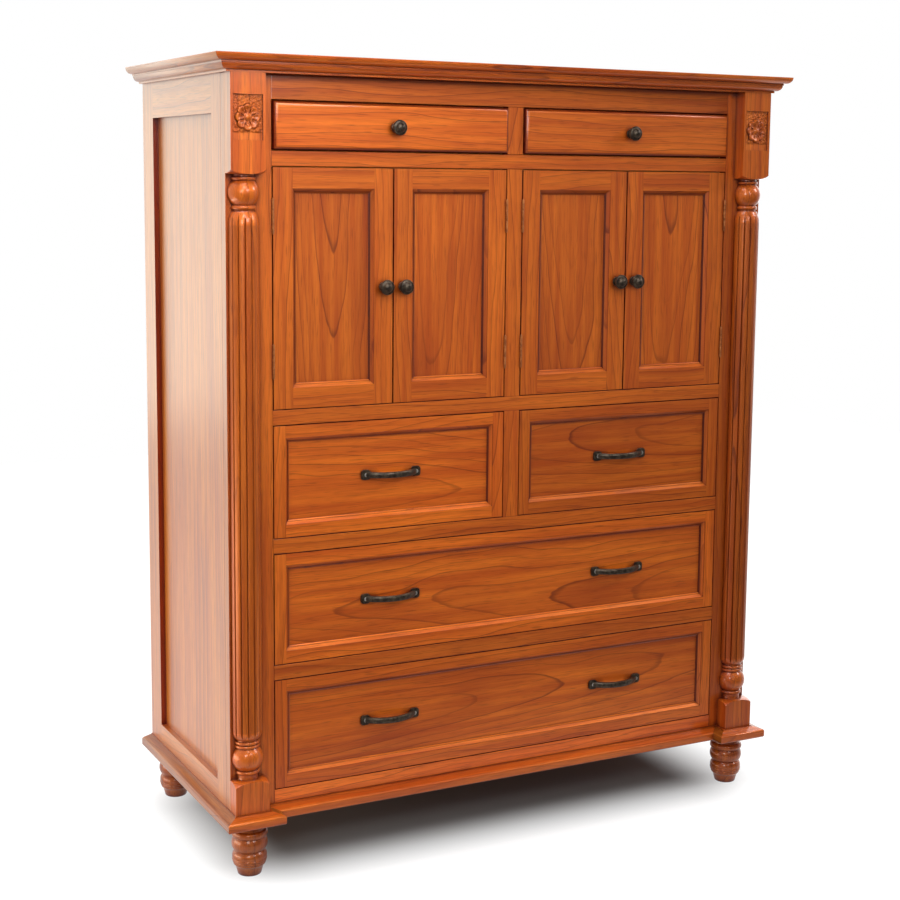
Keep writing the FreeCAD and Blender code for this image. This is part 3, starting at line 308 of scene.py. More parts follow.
def wood(name, grain, stipple_from, flank, stain_and_shade_share, satin):
    """Stained and varnished wood.

    grain gives the three axes across the board, through it and along it. The nodes named centre, aside, gap,
    lean, dive, seed and tone are set for each board by board_wood. The face is stippled above the height
    stipple_from, where that is given. A flank, on the sides of the chest, has a wider, warmer painted shade
    in its corners and a gloss of its own. The argument before satin says how much of the painted corner
    shade, with its dark staining, shows. Satin wood shines less.
    """
    material, n = new_material(name)
    place = n.place()
    parts = n.split(n.setting("centre", place, "SUBTRACT", "ShaderNodeVectorMath"))
    across, through, along = (parts["xyz".index(axis)] for axis in grain)
    local = n.add("ShaderNodeCombineXYZ", None, X=across, Y=through, Z=n.setting("seed", along)).outputs[0]
    rings = growth_rings(n, local, across, through, along)
    fibre = n.noise(n.scaled(local, FIBRE_SCALE), detail=3.0, roughness=0.65)
    pores = n.spread(n.noise(n.scaled(local, PORE_SCALE), detail=1.0), *PORE_LIMITS)
    colour = wood_colour(n, local, rings, fibre, pores)
    colour = n.setting("tone", colour, "MULTIPLY", "ShaderNodeVectorMath")

    # Painted shade in the corners and quirks of the mouldings, where the surroundings hide the light, with a
    # dark staining there as well.
    reach = SIDE_STAIN_AND_SHADE_REACH if flank else STAIN_AND_SHADE_REACH
    stain_and_shade_colour = SIDE_CORNER_STAIN_AND_SHADE if flank else CORNER_STAIN_AND_SHADE
    hollow = n.add("ShaderNodeAmbientOcclusion", {"samples": HOLLOW_SAMPLES}, Distance=reach).outputs["AO"]
    colour = n.mix(n.spread(hollow, *HOLLOW_LIMITS, stain_and_shade_share, 0.0), colour, stain_and_shade_colour)

    sheen, varnish, varnish_roughness = SIDE_GLOSS if flank else SATIN_GLOSS if satin else FRONT_GLOSS
    shade = n.add(
        "ShaderNodeBsdfPrincipled",
        None,
        Base_Color=colour,
        Metallic=sheen,
        Coat_Weight=varnish,
        Coat_Roughness=varnish_roughness,
        IOR=WOOD_IOR,
        Roughness=n.spread(fibre, *FIBRE_RANGE, *WOOD_ROUGHNESS),
        Normal=wood_relief(n, place, rings[0], pores, stipple_from),
    )
    n.finish(shade)
    return material


# Plain wood inside: its colours, how fine its fibres and streaks are along and across them, and its finish.
INSIDE_LIGHT = linear(208, 160, 106)
INSIDE_MID = linear(186, 134, 82)
INSIDE_DARK = linear(140, 92, 52)
INSIDE_FIBRE = (9, 260)
INSIDE_STREAK = (1.5, 40)
INSIDE_STREAK_LIMITS = (0.3, 0.7)
INSIDE_FIBRE_LIMITS = (0.5, 0.75)
INSIDE_FIBRE_SHARE = 0.4
INSIDE_ROUGHNESS = (0.55, 0.7)
INSIDE_BUMP = (0.2, 0.0003)


def plain_inside(along):
    """Pale, lightly finished wood of the drawer boxes, shelves and back, with its grain along one axis."""

    def scales(fineness):
        return [fineness[0] if axis == along else fineness[1] for axis in "xyz"]

    material, n = new_material(f"inside_wood_{along}")
    place = n.place()
    fibre = n.noise(n.scaled(place, scales(INSIDE_FIBRE)), detail=3.0, roughness=0.6)
    streak = n.noise(n.scaled(place, scales(INSIDE_STREAK)))
    colour = n.mix(n.spread(streak, *INSIDE_STREAK_LIMITS), INSIDE_LIGHT, INSIDE_MID)
    fibre_share = n.math("MULTIPLY", n.spread(fibre, *INSIDE_FIBRE_LIMITS), INSIDE_FIBRE_SHARE)
    colour = n.mix(fibre_share, colour, INSIDE_DARK)
    shade = n.add(
        "ShaderNodeBsdfPrincipled",
        None,
        Base_Color=colour,
        Roughness=n.spread(fibre, *FIBRE_RANGE, *INSIDE_ROUGHNESS),
        Normal=n.bump(fibre, *INSIDE_BUMP),
    )
    n.finish(shade)
    return material


# Metal: how fine its mottling and its pits are per metre, and where the mottling changes colour and gloss.
MOTTLE_SCALE = 160.0
PIT_SCALE = 900.0
MOTTLE_COLOUR_LIMITS = (0.35, 0.7)
MOTTLE_GLOSS_LIMITS = (0.3, 0.7)
METAL_SHARE = 0.7
PIT_BUMP = (0.25, 0.0002)


def metal(name, dark, light, low, high):
    """Metal with a mottled patina between two colours and two roughnesses."""
    material, n = new_material(name)
    place = n.place()
    mottle = n.noise(place, MOTTLE_SCALE, 3.0, 0.6)
    shade = n.add(
        "ShaderNodeBsdfPrincipled",
        None,
        Base_Color=n.mix(n.spread(mottle, *MOTTLE_COLOUR_LIMITS), dark, light),
        Metallic=METAL_SHARE,
        Roughness=n.spread(mottle, *MOTTLE_GLOSS_LIMITS, low, high),
        Normal=n.bump(n.noise(place, PIT_SCALE), *PIT_BUMP),
    )
    n.finish(shade)
    return material


# Edges in the gaps, dark as painted shade in the gaps and as soaked-in staining: two colours, how fine their
# mottling is per metre, and a dull surface.
GAP_SHADE_LIGHT = linear(96, 24, 4)
GAP_SHADE_DARK = linear(70, 14, 2)
EDGE_SCALE = 90.0
EDGE_LIMITS = (0.3, 0.7)
EDGE_ROUGHNESS = 0.9
EDGE_SPECULAR = 0.1


def gap_shade_edge():
    """Dark wood with no varnish on the edges that face each other across the gaps, partly soaked-in staining
    and partly painted shade.
    """
    material, n = new_material("edge_wood")
    mottle = n.noise(n.place(), EDGE_SCALE)
    shade = n.add(
        "ShaderNodeBsdfPrincipled",
        None,
        Base_Color=n.mix(n.spread(mottle, *EDGE_LIMITS), GAP_SHADE_LIGHT, GAP_SHADE_DARK),
        Roughness=EDGE_ROUGHNESS,
        Specular_IOR_Level=EDGE_SPECULAR,
    )
    n.finish(shade)
    return material


inside = [plain_inside(axis) for axis in "xyz"]
edge_wood = gap_shade_edge()
bronze = metal("dark_bronze", linear(50, 42, 35), linear(88, 76, 62), 0.3, 0.42)
screw_metal = metal("screw_metal", linear(150, 142, 134), linear(200, 192, 184), 0.25, 0.4)
hinge_metal = metal("hinge_metal", linear(150, 84, 42), linear(190, 120, 66), 0.4, 0.6)

# Corners in the same cell of a grid this fine count as one.
CELLS_PER_METRE = 20000


def solids_of(mesh):
    """The polygon numbers of each solid in a mesh, joined over edges that just two polygons share."""
    spots = {}
    number = []
    for vertex in mesh.vertices:
        key = tuple(round(c * CELLS_PER_METRE) for c in vertex.co)
        number.append(spots.setdefault(key, len(spots)))
    edges = {}
    for polygon in mesh.polygons:
        corners = [number[v] for v in polygon.vertices]
        for first, second in zip(corners, corners[1:] + corners[:1]):
            edges.setdefault((min(first, second), max(first, second)), []).append(polygon.index)
    chain = list(range(len(mesh.polygons)))

    def root(k):
        while chain[k] != k:
            chain[k] = chain[chain[k]]
            k = chain[k]
        return k

    for sharers in edges.values():
        if len(sharers) == 2:
            chain[root(sharers[0])] = root(sharers[1])
    groups = {}
    for polygon in mesh.polygons:
        groups.setdefault(root(polygon.index), []).append(polygon.index)
    return list(groups.values())


# One solid of wood: its box, its axes across, through and along the grain, and a seed for its chances.
Board = namedtuple("Board", "low high grain seed")


def box_of(mesh, polygons):
    """The lowest and the highest corner of some polygons' box."""
    corners = [mesh.vertices[v].co for p in polygons for v in mesh.polygons[p].vertices]
    low = [min(c[i] for c in corners) for i in range(3)]
    high = [max(c[i] for c in corners) for i in range(3)]
    return low, high


def board_of(mesh, polygons, seed):
    """A solid as a board with the grain along its length."""
    low, high = box_of(mesh, polygons)
    sizes = {axis: b - a for axis, a, b in zip("xyz", low, high)}
    through, across, along = sorted(sizes, key=sizes.get)
    return Board(low, high, across + through + along, seed)


def board_size(board, axis):
    """The size of a board along an axis."""
    k = "xyz".index(axis)
    return board.high[k] - board.low[k]


def board_width(board):
    """The size of a board across its grain."""
    return board_size(board, board.grain[0])


# Tints, as factors of red, green and blue. The side boards are a little yellower than the front, partly as
# their own tone and partly as a painted warm sheen from the glare on them.
PLAIN_TINT = (1.0, 1.0, 1.0)
SIDE_TINT = (0.94, 1.3, 1.0)
# The edges of the side frames that face down or forward are darker as painted shade. The strips round the
# sunk panels are darker as painted shade with some dark staining, the lip at the right darkest as a painted
# shadow, and the strips along the bottom lighter as painted light.
SHADED_EDGE_TINT = (0.5, 0.22, 0.12)
BEVEL_SHADE_TINT = (0.85, 0.8, 0.76)
LIP_SHADE_TINT = (0.52, 0.4, 0.34)
RIGHT_LIP_SHADOW_TINT = (0.2, 0.12, 0.1)
LIT_BOTTOM_STRIP_TINT = (1.12, 1.2, 1.2)
# The ends of the base board, and the sunk fields under the rosettes, whose paler, bluer tint is partly a
# painted sheen.
RETURN_TINT = (0.6, 0.8, 0.9)
FIELD_TINT = (1.2, 1.35, 2.2)

# How much lighter or darker than the rest some boards are. This is partly their own tone and partly painted
# light and shade: some drawers are lighter as painted light, and the back left foot is darkest as painted
# shade.
TONES = {
    "drawer_top_left_front": 1.16,
    "drawer_middle_left_front": 1.2,
    "drawer_middle_right_front": 0.95,
    "drawer_upper_wide_front": 1.24,
    "drawer_lower_wide_front": 1.12,
    "door_outer_left_panel": 0.94,
    "door_inner_right_panel": 0.88,
    "corner_post_left": 1.06,
    "foot_front_left": 0.68,
    "foot_front_right": 0.8,
    "foot_back_left": 0.6,
    "foot_back_right": 0.7,
    "top_board": 1.12,
    "cornice_board": 1.12,
}
# The same for the rails of the face frame, each from this height up. The top rail is darker as painted shade
# under the cornice, and the bottom rail much lighter, partly its own tone and partly painted light.
RAIL_TONES = [(1.3, 0.94), (0.2, 1.0), (0.0, 1.55)]
REED_SHADE = 0.78

# How much of the painted shade, with its dark staining, shows in the corners.
FULL_STAIN_AND_SHADE = 0.92
CARVING_STAIN_AND_SHADE = 0.75
REED_STAIN_AND_SHADE = 0.6
FIELD_STAIN_AND_SHADE = 0.3

# Flat-sawn boards with pointed arches: pith aside and behind, and its lean across and through the board.
FLAT_SAWN = {
    "door_outer_left_panel": (0.0, 0.03, 0.02, -0.07),
    "door_inner_left_panel": (0.03, 0.05, -0.03, -0.06),
    "door_inner_right_panel": (0.0, 0.05, 0.04, -0.08),
    "door_outer_right_panel": (0.015, 0.045, -0.02, -0.07),
    "drawer_middle_left_front": (0.03, 0.05, 0.02, 0.06),
    "drawer_middle_right_front": (-0.03, 0.06, -0.04, -0.08),
    "drawer_upper_wide_front": (0.03, 0.07, 0.05, -0.06),
    "drawer_lower_wide_front": (-0.01, 0.06, -0.03, 0.055),
}

# Other boards: the pith's least distance, what chance adds to it aside and behind, and its lean both ways.
PITH_CLEAR = 0.03
PITH_ASIDE = 0.1
PITH_BEHIND = 0.05
PITH_LEAN = 0.05
PITH_DIVE = 0.08
SHORT_BOARD = 0.2
# How far chance shifts the pattern along a board, the darkest board's tone, and what chance adds to it.
PATTERN_SHIFT = 10
LEAST_TONE = 0.95
MORE_TONE = 0.1
# The factors that scatter the chances.
CHANCE_WAVES = (12.9898, 78.233, 37.719)
CHANCE_STRETCH = 43758.5453


def chance(*seeds):
    """A number from 0 to 1 that is the same on every run."""
    angle = sum(seed * wave for seed, wave in zip(seeds, CHANCE_WAVES))
    value = math.sin(angle) * CHANCE_STRETCH
    return value - math.floor(value)


def chance_cut(board):
    """How a board is cut from the log by chance, in the same order as in FLAT_SAWN."""
    length = board_size(board, board.grain[2])
    aside = board_width(board) * 0.5 + PITH_CLEAR + PITH_ASIDE * chance(board.seed, 1)
    behind = PITH_CLEAR + PITH_BEHIND * chance(board.seed, 2)
    lean = (chance(board.seed, 5) - 0.5) * PITH_LEAN
    dive = (chance(board.seed, 3) - 0.5) * PITH_DIVE / max(length, SHORT_BOARD)
    return aside, behind, lean, dive


masters = {}


def board_wood(name, board, tint=PLAIN_TINT, cut=None, stipple_from=None, stain_and_shade_share=FULL_STAIN_AND_SHADE, satin=False):
    """A wood material for one board, cut its own way from the log. What has the side tint is a flank."""
    kind = (board.grain, stipple_from, tint == SIDE_TINT, stain_and_shade_share, satin)
    if kind not in masters:
        masters[kind] = wood(f"wood_{len(masters)}", *kind)
    material = masters[kind].copy()
    material.name = name
    settings = material.node_tree.nodes
    settings["centre"].inputs[1].default_value = [(a + b) / 2 for a, b in zip(board.low, board.high)]
    for label, value in zip(("aside", "gap", "lean", "dive"), cut or chance_cut(board)):
        settings[label].inputs[1].default_value = value
    settings["seed"].inputs[1].default_value = PATTERN_SHIFT * chance(board.seed, 7)
    tone = LEAST_TONE + MORE_TONE * chance(board.seed, 6)
    settings["tone"].inputs[1].default_value = [tone * share for share in tint]
    return material


# Boards narrower than the first are strips round a sunk panel, and narrower than the second its lip. Only
# boards wider than the third show a flat-sawn cut.
STRIP_WIDTH = 0.0085
LIP_WIDTH = 0.004
PANEL_WIDTH = 0.09


def strip_tint(name, board, lip):
    """Tint of a strip round a sunk panel: painted light at the bottom, a painted shadow on the right lip,
    and painted shade with some dark staining on the rest.
    """
    node_low, node_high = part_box(name)
    run = board.grain[2]
    if run == "x" and board.low[2] + board.high[2] < node_low.z + node_high.z:
        return LIT_BOTTOM_STRIP_TINT
    if run == "z" and board.low[0] + board.high[0] > node_low.x + node_high.x and lip:
        return RIGHT_LIP_SHADOW_TINT
    return LIP_SHADE_TINT if lip else BEVEL_SHADE_TINT


def board_tone(name, board):
    """How light a board is. The rails of the face frame go by their height."""
    if name == "face_frame_rails":
        return next(tone for height, tone in RAIL_TONES if board.low[2] >= height)
    return TONES.get(name, 1.0)


def board_tint(name, board):
    """The tint of a board's plain wood."""
    width = board_width(board)
    tint = SIDE_TINT if name.startswith("side_") else PLAIN_TINT
    if name.endswith(("_frame", "_front")) and width < STRIP_WIDTH:
        tint = strip_tint(name, board, width < LIP_WIDTH)
    tone = board_tone(name, board)
    return tuple(share * tone for share in tint)


# The boards that are mitred at the front corners, and what tells the seeds of their ends from the front's.
MITRED = {"top_board", "cornice_board", "base_board"}
RETURN_SEED = 50

# The box round both rosettes, and how far below it the stippling of the sunk fields reaches.
carving_low, carving_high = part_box("rosettes")
STIPPLE_BELOW = 0.003


def post_finishes(name, number, board, tint):
    """The wood of a corner post's sunk field, of its side and of its reeds."""
    stipple = {"stipple_from": carving_low.z - STIPPLE_BELOW, "stain_and_shade_share": FIELD_STAIN_AND_SHADE}
    reed_tint = tuple(share * REED_SHADE for share in tint)
    return {
        "field": board_wood(f"{name}_field_{number}", board, FIELD_TINT, **stipple),
        "side": board_wood(f"{name}_side_{number}", board, SIDE_TINT),
        "reeds": board_wood(f"{name}_reeds_{number}", board, reed_tint, stain_and_shade_share=REED_STAIN_AND_SHADE, satin=True),
    }


def board_finishes(name, number, board):
    """All the materials of one board, each under the kind of face that it is for."""
    width = board_width(board)
    tint = board_tint(name, board)
    cut = FLAT_SAWN.get(name) if width > PANEL_WIDTH else None
    finishes = {"plain": board_wood(f"{name}_wood_{number}", board, tint, cut)}
    if name in MITRED:
        end = board._replace(grain="xzy", seed=board.seed + RETURN_SEED)
        end_tint = RETURN_TINT if name == "base_board" else SIDE_TINT
        finishes["return"] = board_wood(f"{name}_return_{number}", end, end_tint)
    if name.startswith("corner_post"):
        finishes.update(post_finishes(name, number, board, tint))
    if name.startswith("side_frame"):
        # The edges of the side frames that face down or forward get painted shade.
        finishes["edge"] = board_wood(f"{name}_edge_{number}", board, SHADED_EDGE_TINT)
    if name.startswith(("face_frame", "drawer", "door")) and width > STRIP_WIDTH:
        finishes["gap"] = edge_wood
        # The rounded edges of the top drawers get painted shade where they turn away from the front.
        if name.startswith("drawer_top"):
            finishes["round"] = board_wood(f"{name}_round_{number}", board, LIP_SHADE_TINT)
    if name == "face_frame_stiles":
        outside = board._replace(grain="yxz")
        finishes["side"] = board_wood(f"{name}_side_{number}", outside, SIDE_TINT)
    return finishes


# How much of a face's normal lies along an axis where the face looks that way: squarely, nearly, more than
# half, or hardly at all.
SQUARE_SHARE = 0.99
NEAR_SHARE = 0.9
HALF_SHARE = 0.5
HARDLY_SHARE = 0.2
# What tells faces apart, in metres: the side frames' inner edges that look forward lie behind the first
# place, and the stiles' outer sides outside the second. A post's side is larger than the area, in square
# metres, and its other long faces have the finish of the reeds. A sunk field lies at the carving's back.
SIDE_EDGE_Y = 0.1
STILE_SIDE_X = 0.47
POST_SIDE_AREA = 0.002
REED_LENGTH = 0.3
FIELD_TOLERANCE = 0.0003


def looks_outward(face):
    """Whether a face looks squarely away from the middle of the chest, to the left or the right."""
    return face.normal.x * face.center.x > 0 and abs(face.normal.x) > SQUARE_SHARE


def post_face(mesh, face):
    """The kind of one face of a corner post."""
    heights = [mesh.vertices[v].co.z for v in face.vertices]
    if looks_outward(face) and face.area > POST_SIDE_AREA:
        return "side"
    if max(heights) - min(heights) > REED_LENGTH:
        return "reeds"
    if face.normal.y < -NEAR_SHARE and abs(face.center.y - carving_high.y) < FIELD_TOLERANCE:
        return "field"
    return "plain"


def front_face(name, face, finishes):
    """The kind of one face of any other board. A round edge is in the gap once it has turned half away."""
    forward = abs(face.normal.y)
    if name == "face_frame_stiles" and looks_outward(face) and abs(face.center.x) > STILE_SIDE_X:
        return "side"
    if "round" in finishes and HALF_SHARE <= forward < NEAR_SHARE:
        return "round"
    if "gap" in finishes and forward < (HALF_SHARE if "round" in finishes else HARDLY_SHARE):
        return "gap"
    return "plain"


def face_kind(name, mesh, face, finishes):
    """Which of its board's materials a face gets."""
    if name in MITRED:
        return "return" if abs(face.normal.x) > abs(face.normal.y) else "plain"
    if name.startswith("side_frame"):
        # Edges that face down or forward get the painted shade.
        looks_forward = face.normal.y < -HALF_SHARE and face.center.y > SIDE_EDGE_Y
        return "edge" if face.normal.z < -HALF_SHARE or looks_forward else "plain"
    if name.startswith("corner_post"):
        return post_face(mesh, face)
    return front_face(name, face, finishes)


# Seeds of one node's boards follow on from each other, and those of two nodes lie this far apart.
SEEDS_PER_NODE = 100


def dress_wood(name, mesh, start):
    """Gives each board of a node its own cut of wood, and its faces the finish of their kind."""
    mesh.materials.clear()
    for number, polygons in enumerate(solids_of(mesh)):
        board = board_of(mesh, polygons, SEEDS_PER_NODE * start + number)
        finishes = board_finishes(name, number, board)
        kinds = list(finishes)
        slot = len(mesh.materials)
        for material in finishes.values():
            mesh.materials.append(material)
        for p in polygons:
            face = mesh.polygons[p]
            face.material_index = slot + kinds.index(face_kind(name, mesh, face, finishes))


def dress_inside(mesh):
    """Gives each plain board the wood whose grain runs along the board."""
    mesh.materials.clear()
    for material in inside:
        mesh.materials.append(material)
    for polygons in solids_of(mesh):
        lengths = [b - a for a, b in zip(*box_of(mesh, polygons))]
        for p in polygons:
            mesh.polygons[p].material_index = lengths.index(max(lengths))


# How far the screw heads of a pull lie before its back, and the tolerance, in metres.
SCREW_DEPTH = 0.005
SCREW_TOLERANCE = 0.0002


def dress_metal(name, mesh):
    """Gives a hinge, knob or pull its metal, and the screw heads of a pull their own."""
    mesh.materials.clear()
    mesh.materials.append(hinge_metal if "hinge" in name else bronze)
    if "pull" in name:
        mesh.materials.append(screw_metal)
        screw_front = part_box(name)[1].y - SCREW_DEPTH
        for face in mesh.polygons:
            if face.normal.y < -NEAR_SHARE and abs(face.center.y - screw_front) < SCREW_TOLERANCE:
                face.material_index = 1


# Softened edges: widths in metres, the least angle in degrees between the faces, steps round the edge, and
# the distance within which corners are joined first.
METAL_BEVEL = 0.0005
WOOD_BEVEL = 0.0008
BEVEL_ANGLE = 38
BEVEL_STEPS = 2
WELD_DISTANCE = 0.00002


def soften_edges(node, width):
    """Rounds the sharp edges of a node a little."""
    weld = node.modifiers.new("weld", "WELD")
    weld.merge_threshold = WELD_DISTANCE
    bevel = node.modifiers.new("bevel", "BEVEL")
    bevel.width = width
    bevel.segments = BEVEL_STEPS
    bevel.limit_method = "ANGLE"
    bevel.angle_limit = math.radians(BEVEL_ANGLE)
    bevel.use_clamp_overlap = True


# The rosettes: petals round a button. Places are shares of the way out from the middle, or from the gap
# between two petals to a petal's middle, and heights are shares of the relief. The scalloped edge lies at
# the notches, and the tips of the petals add to that.
PETALS = 8
NOTCH_SHARE = 0.84
TIP_SHARE = 0.16
TIP_ROUNDNESS = 0.7
BUTTON_SHARE = 0.27
BUTTON_FALL_SHARE = 0.9
CUP_SHARES = (0.3, 0.5)
RIM_SHARES = (0.5, 0.82)
END_SHARES = (0.9, 1.0)
WALL_PLACE_SHARE = 0.5
WALL_WIDTH_SHARE = 0.24
WALL_HEIGHT_SHARE = 0.8
VALLEY_SHARES = (0.0, 0.3)
CUP_FLOOR_SHARE = 0.28
RIM_RISE_SHARE = 0.6
VALLEY_DROP_SHARE = 0.35
LEAST_HEIGHT_SHARE = 0.02
# The mesh of one rosette, the seed of its wood, and how much thicker than the relief its board is.
CARVING_RINGS = 26
CARVING_STEPS = 192
CARVING_SEED = 7
CARVING_BOARD = 0.03


def smooth_step(value, low, high):
    """Rises smoothly from 0 to 1 between two values."""
    share = min(max((value - low) / (high - low), 0.0), 1.0)
    return share * share * (3 - 2 * share)


def petal_lobe(angle):
    """1 in the middle of a petal and 0 between two petals."""
    return abs(math.cos(PETALS / 2 * angle))


def petal_edge(angle):
    """The reach of the scalloped edge at an angle, as a share of the rosette's radius."""
    return NOTCH_SHARE + TIP_SHARE * petal_lobe(angle) ** TIP_ROUNDNESS


def carved_height(share, angle):
    """The height of the carving as a share of its relief: cupped petals round a button."""
    if share < BUTTON_SHARE:
        return math.sqrt(1 - BUTTON_FALL_SHARE * (share / BUTTON_SHARE) ** 2)
    lobe = petal_lobe(angle)
    reach = share / petal_edge(angle)
    inner = smooth_step(reach, *CUP_SHARES)
    wall = math.exp(-(((lobe - WALL_PLACE_SHARE) / WALL_WIDTH_SHARE) ** 2))
    rim = max(smooth_step(reach, *RIM_SHARES), WALL_HEIGHT_SHARE * wall * inner)
    valley = (1 - smooth_step(lobe, *VALLEY_SHARES)) * inner
    height = CUP_FLOOR_SHARE + RIM_RISE_SHARE * rim - VALLEY_DROP_SHARE * valley
    return max(height, LEAST_HEIGHT_SHARE) * (1 - smooth_step(reach, *END_SHARES))


def rosette_spots(middle_x):
    """The points of one rosette: its middle, then ring after ring, and last the middle of its back."""
    radius = (carving_high.z - carving_low.z) / 2
    relief = carving_high.y - carving_low.y
    middle_z = (carving_high.z + carving_low.z) / 2
    spots = [(middle_x, carving_low.y, middle_z)]
    for ring in range(1, CARVING_RINGS + 1):
        for step in range(CARVING_STEPS):
            angle = 2 * math.pi * step / CARVING_STEPS
            share = petal_edge(angle) * ring / CARVING_RINGS
            x = middle_x + radius * share * math.cos(angle)
            y = carving_high.y - relief * carved_height(share, angle)
            z = middle_z + radius * share * math.sin(angle)
            spots.append((x, y, z))
    spots.append((middle_x, carving_high.y, middle_z))
    return spots


def rosette_faces(start, back):
    """The faces of one rosette, whose points run from start to back."""
    faces = []
    for step in range(CARVING_STEPS):
        after = (step + 1) % CARVING_STEPS
        faces.append((start, start + 1 + step, start + 1 + after))
        for ring in range(CARVING_RINGS - 1):
            near = start + 1 + ring * CARVING_STEPS
            far = near + CARVING_STEPS
            faces.append((near + step, far + step, far + after, near + after))
        outer = start + 1 + (CARVING_RINGS - 1) * CARVING_STEPS
        faces.append((back, outer + after, outer + step))
    return faces


def carve_rosettes():
    """Both rosettes of the corner posts as one mesh, finer than the CAD flowers and inside their box."""
    radius = (carving_high.z - carving_low.z) / 2
    spots = []
    faces = []
    for middle_x in (carving_low.x + radius, carving_high.x - radius):
        start = len(spots)
        spots.extend(rosette_spots(middle_x))
        faces.extend(rosette_faces(start, len(spots) - 1))
    mesh = bpy.data.meshes.new("rosette_carving")
    mesh.from_pydata(spots, [], faces)
    mesh.shade_smooth()
    carving = bpy.data.objects.new("rosette_carving", mesh)
    scene.collection.objects.link(carving)
    low = (carving_low.x, carving_low.y - CARVING_BOARD, carving_low.z)
    board = Board(low, carving_high, "xyz", CARVING_SEED)
    mesh.materials.append(board_wood("rosette_wood", board, stain_and_shade_share=CARVING_STAIN_AND_SHADE))
    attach(carving, "case")
    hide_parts("rosettes")


carve_rosettes()

# The nodes of plain wood inside, beside the drawer boxes.
INSIDE = {
    "back_panel",
    "dust_boards",
    "centre_partitions",
    "cupboard_shelves",
    "shelf_cleats",
    "drawer_guides",
    "door_stops",
}
METAL_WORDS = ("knob", "pull", "hinge")
for number, (name, node) in enumerate(sorted(nodes.items())):
    if any(word in name for word in METAL_WORDS):
        dress_metal(name, node.data)
        soften_edges(node, METAL_BEVEL)
    elif name in INSIDE or name.endswith("_box"):
        # These boards keep sharp edges, because a bevel would throw slivers where their corners touch.
        dress_inside(node.data)
    else:
        dress_wood(name, node.data, number)
        soften_edges(node, WOOD_BEVEL)

# The floor, in metres: half its width, half the width and depth of its grey patch, and the fade round that.
# The grey patch darkens the floor by its place, a painted shadow on top of the real shadow that the paper
# catches.
FLOOR_REACH = 4.0
PATCH_BESIDE = 0.4
PATCH_BEFORE = 0.12
PATCH_FADE = 0.22
# Mirrored in the chest, the floor is white from the second of these depths back, and grey before the first.
FLOOR_MIRROR_LIMITS = (-1.0, 0.0)
PAPER = (0.2, 0.2, 0.2, 1)
WHITE = (1, 1, 1, 1)


def floor_paper():
    """Grey paper that catches the shadow under the chest, and shines white away from it where it is seen;
    the white fades out by place near the chest, which paints part of the shadow.
    """
    material, n = new_material("floor_paper")
    parts = n.split(n.place())
    beside = n.math("MAXIMUM", n.math("SUBTRACT", n.math("ABSOLUTE", parts["X"]), PATCH_BESIDE), 0.0)
    before = n.math("MAXIMUM", n.math("SUBTRACT", n.math("ABSOLUTE", parts["Y"]), PATCH_BEFORE), 0.0)
    far = n.spread(n.distance(beside, before), 0.0, PATCH_FADE)
    path = n.add("ShaderNodeLightPath").outputs
    mirrored = n.math("MULTIPLY", path["Is Glossy Ray"], n.spread(parts["Y"], *FLOOR_MIRROR_LIMITS))
    seen = n.math("MAXIMUM", path["Is Camera Ray"], n.math("MAXIMUM", mirrored, path["Is Transmission Ray"]))
    paper = n.add("ShaderNodeBsdfDiffuse", None, Color=PAPER)
    white = n.add("ShaderNodeEmission", None, Color=WHITE, Strength=n.math("MULTIPLY", far, seen))
    blend = n.add("ShaderNodeAddShader")
    n.feed(blend.inputs[0], paper.outputs[0])
    n.feed(blend.inputs[1], white.outputs[0])
    n.finish(blend)
    return material


def lay_floor():
    """A pale floor that fades into the white background, and keeps the shadow."""
    mesh = bpy.data.meshes.new("floor")
    corners = [(-1, -1), (1, -1), (1, 1), (-1, 1)]
    mesh.from_pydata([(x * FLOOR_REACH, y * FLOOR_REACH, 0) for x, y in corners], [], [(0, 1, 2, 3)])
    floor = bpy.data.objects.new("floor", mesh)
    scene.collection.objects.link(floor)
    mesh.materials.append(floor_paper())


lay_floor()

# The room's brightness against the white backdrop, and between which headings polished faces see it change.
ROOM = 0.2
ROOM_MIRROR_LIMITS = (-0.6, 0.1)


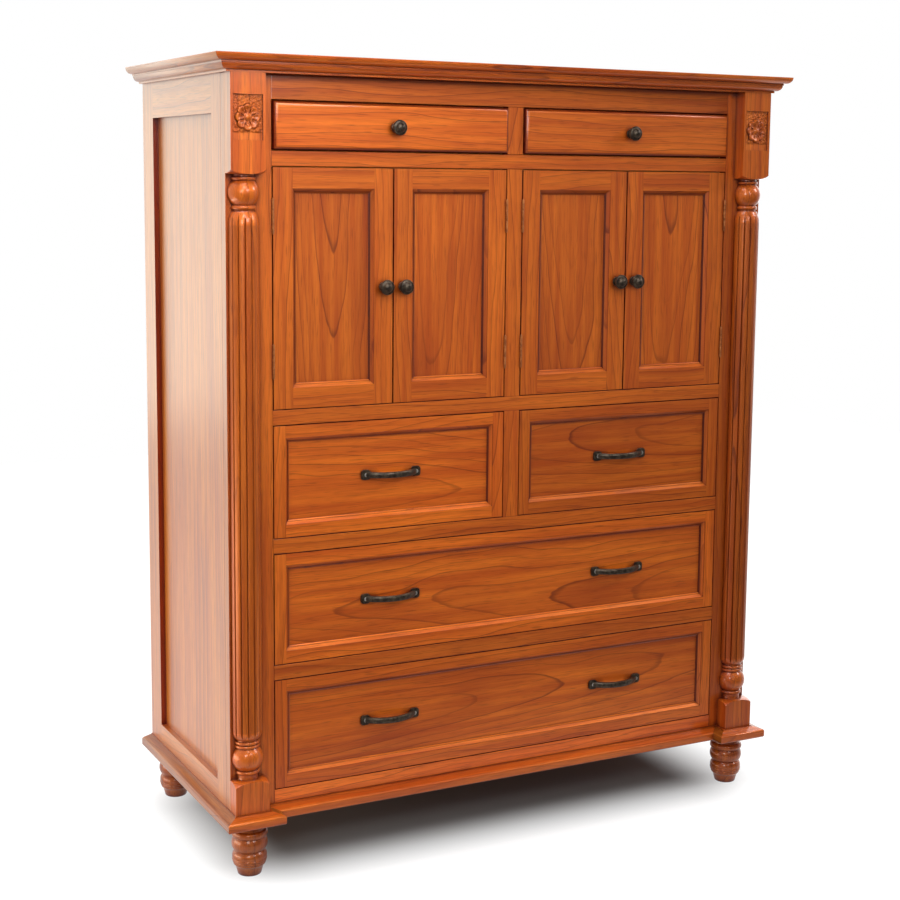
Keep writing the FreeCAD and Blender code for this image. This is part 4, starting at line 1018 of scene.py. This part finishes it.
def make_world():
    """White where it is seen, and a softer room where it lights the chest. Polished faces show the white
    backdrop behind the chest and the dimmer room before it."""
    world = bpy.data.worlds.new("world")
    scene.world = world
    world.use_nodes = True
    n = Nodes(world.node_tree)
    path = n.add("ShaderNodeLightPath").outputs
    heading = n.add("ShaderNodeTexCoord").outputs["Generated"]
    mirror = n.spread(n.split(heading)["Y"], *ROOM_MIRROR_LIMITS, ROOM, 1.0)
    mirrored = n.math("MULTIPLY", path["Is Glossy Ray"], mirror)
    seen = n.math("MAXIMUM", path["Is Camera Ray"], path["Is Transmission Ray"])
    strength = n.math("MAXIMUM", n.math("MAXIMUM", seen, mirrored), ROOM)
    n.finish(n.add("ShaderNodeBackground", None, Color=WHITE, Strength=strength), "ShaderNodeOutputWorld")


make_world()


def softbox(name, place, target, width, height, radiance, spread=180.0, colour=(1, 1, 1)):
    """A soft rectangular studio light, given by the radiance of its face and the angle that its grid lets
    through."""
    data = bpy.data.lights.new(name, "AREA")
    data.shape = "RECTANGLE"
    data.size = width
    data.size_y = height
    data.energy = radiance * math.pi * width * height
    data.spread = math.radians(spread)
    data.color = colour
    lamp = bpy.data.objects.new(name, data)
    scene.collection.objects.link(lamp)
    lamp.location = place
    aim = Vector(target) - Vector(place)
    lamp.rotation_euler = aim.to_track_quat("-Z", "Y").to_euler()


WARM = (1.0, 0.98, 0.8)
# Name, place, aim, width, height and radiance of each light, then its spread and its colour where they
# aren't the usual ones.
LIGHTS = [
    ("key", (0.1, -2.4, 1.85), (-0.35, 0.0, 0.8), 0.7, 0.7, 1.5, 60.0),
    ("right", (2.8, -1.6, 2.6), (0.0, 0.0, 0.6), 0.8, 0.8, 17.0),
    ("near_left", (-0.65, -1.3, 1.95), (-0.5, 0.0, 1.4), 0.4, 0.4, 3.6, 100.0),
    ("by_camera", (-1.8, -2.6, 1.7), (-0.2, 0.0, 0.9), 0.8, 0.8, 12.5),
    ("overhead", (-0.8, -0.4, 2.9), (-0.4, -0.2, 0.0), 1.8, 1.6, 4.8),
    ("left_back", (-1.5, 2.1, 1.3), (-0.55, 0.1, 1.1), 1.6, 1.8, 1.36, 180.0, WARM),
    ("left_low", (-1.6, 0.2, 0.2), (-0.53, 0.2, 0.2), 1.2, 0.4, 5.2, 180.0, WARM),
    ("back_right", (2.6, 2.0, 1.5), (0.2, 0.1, 0.7), 2.8, 2.4, 2.0),
]
for light in LIGHTS:
    softbox(*light)
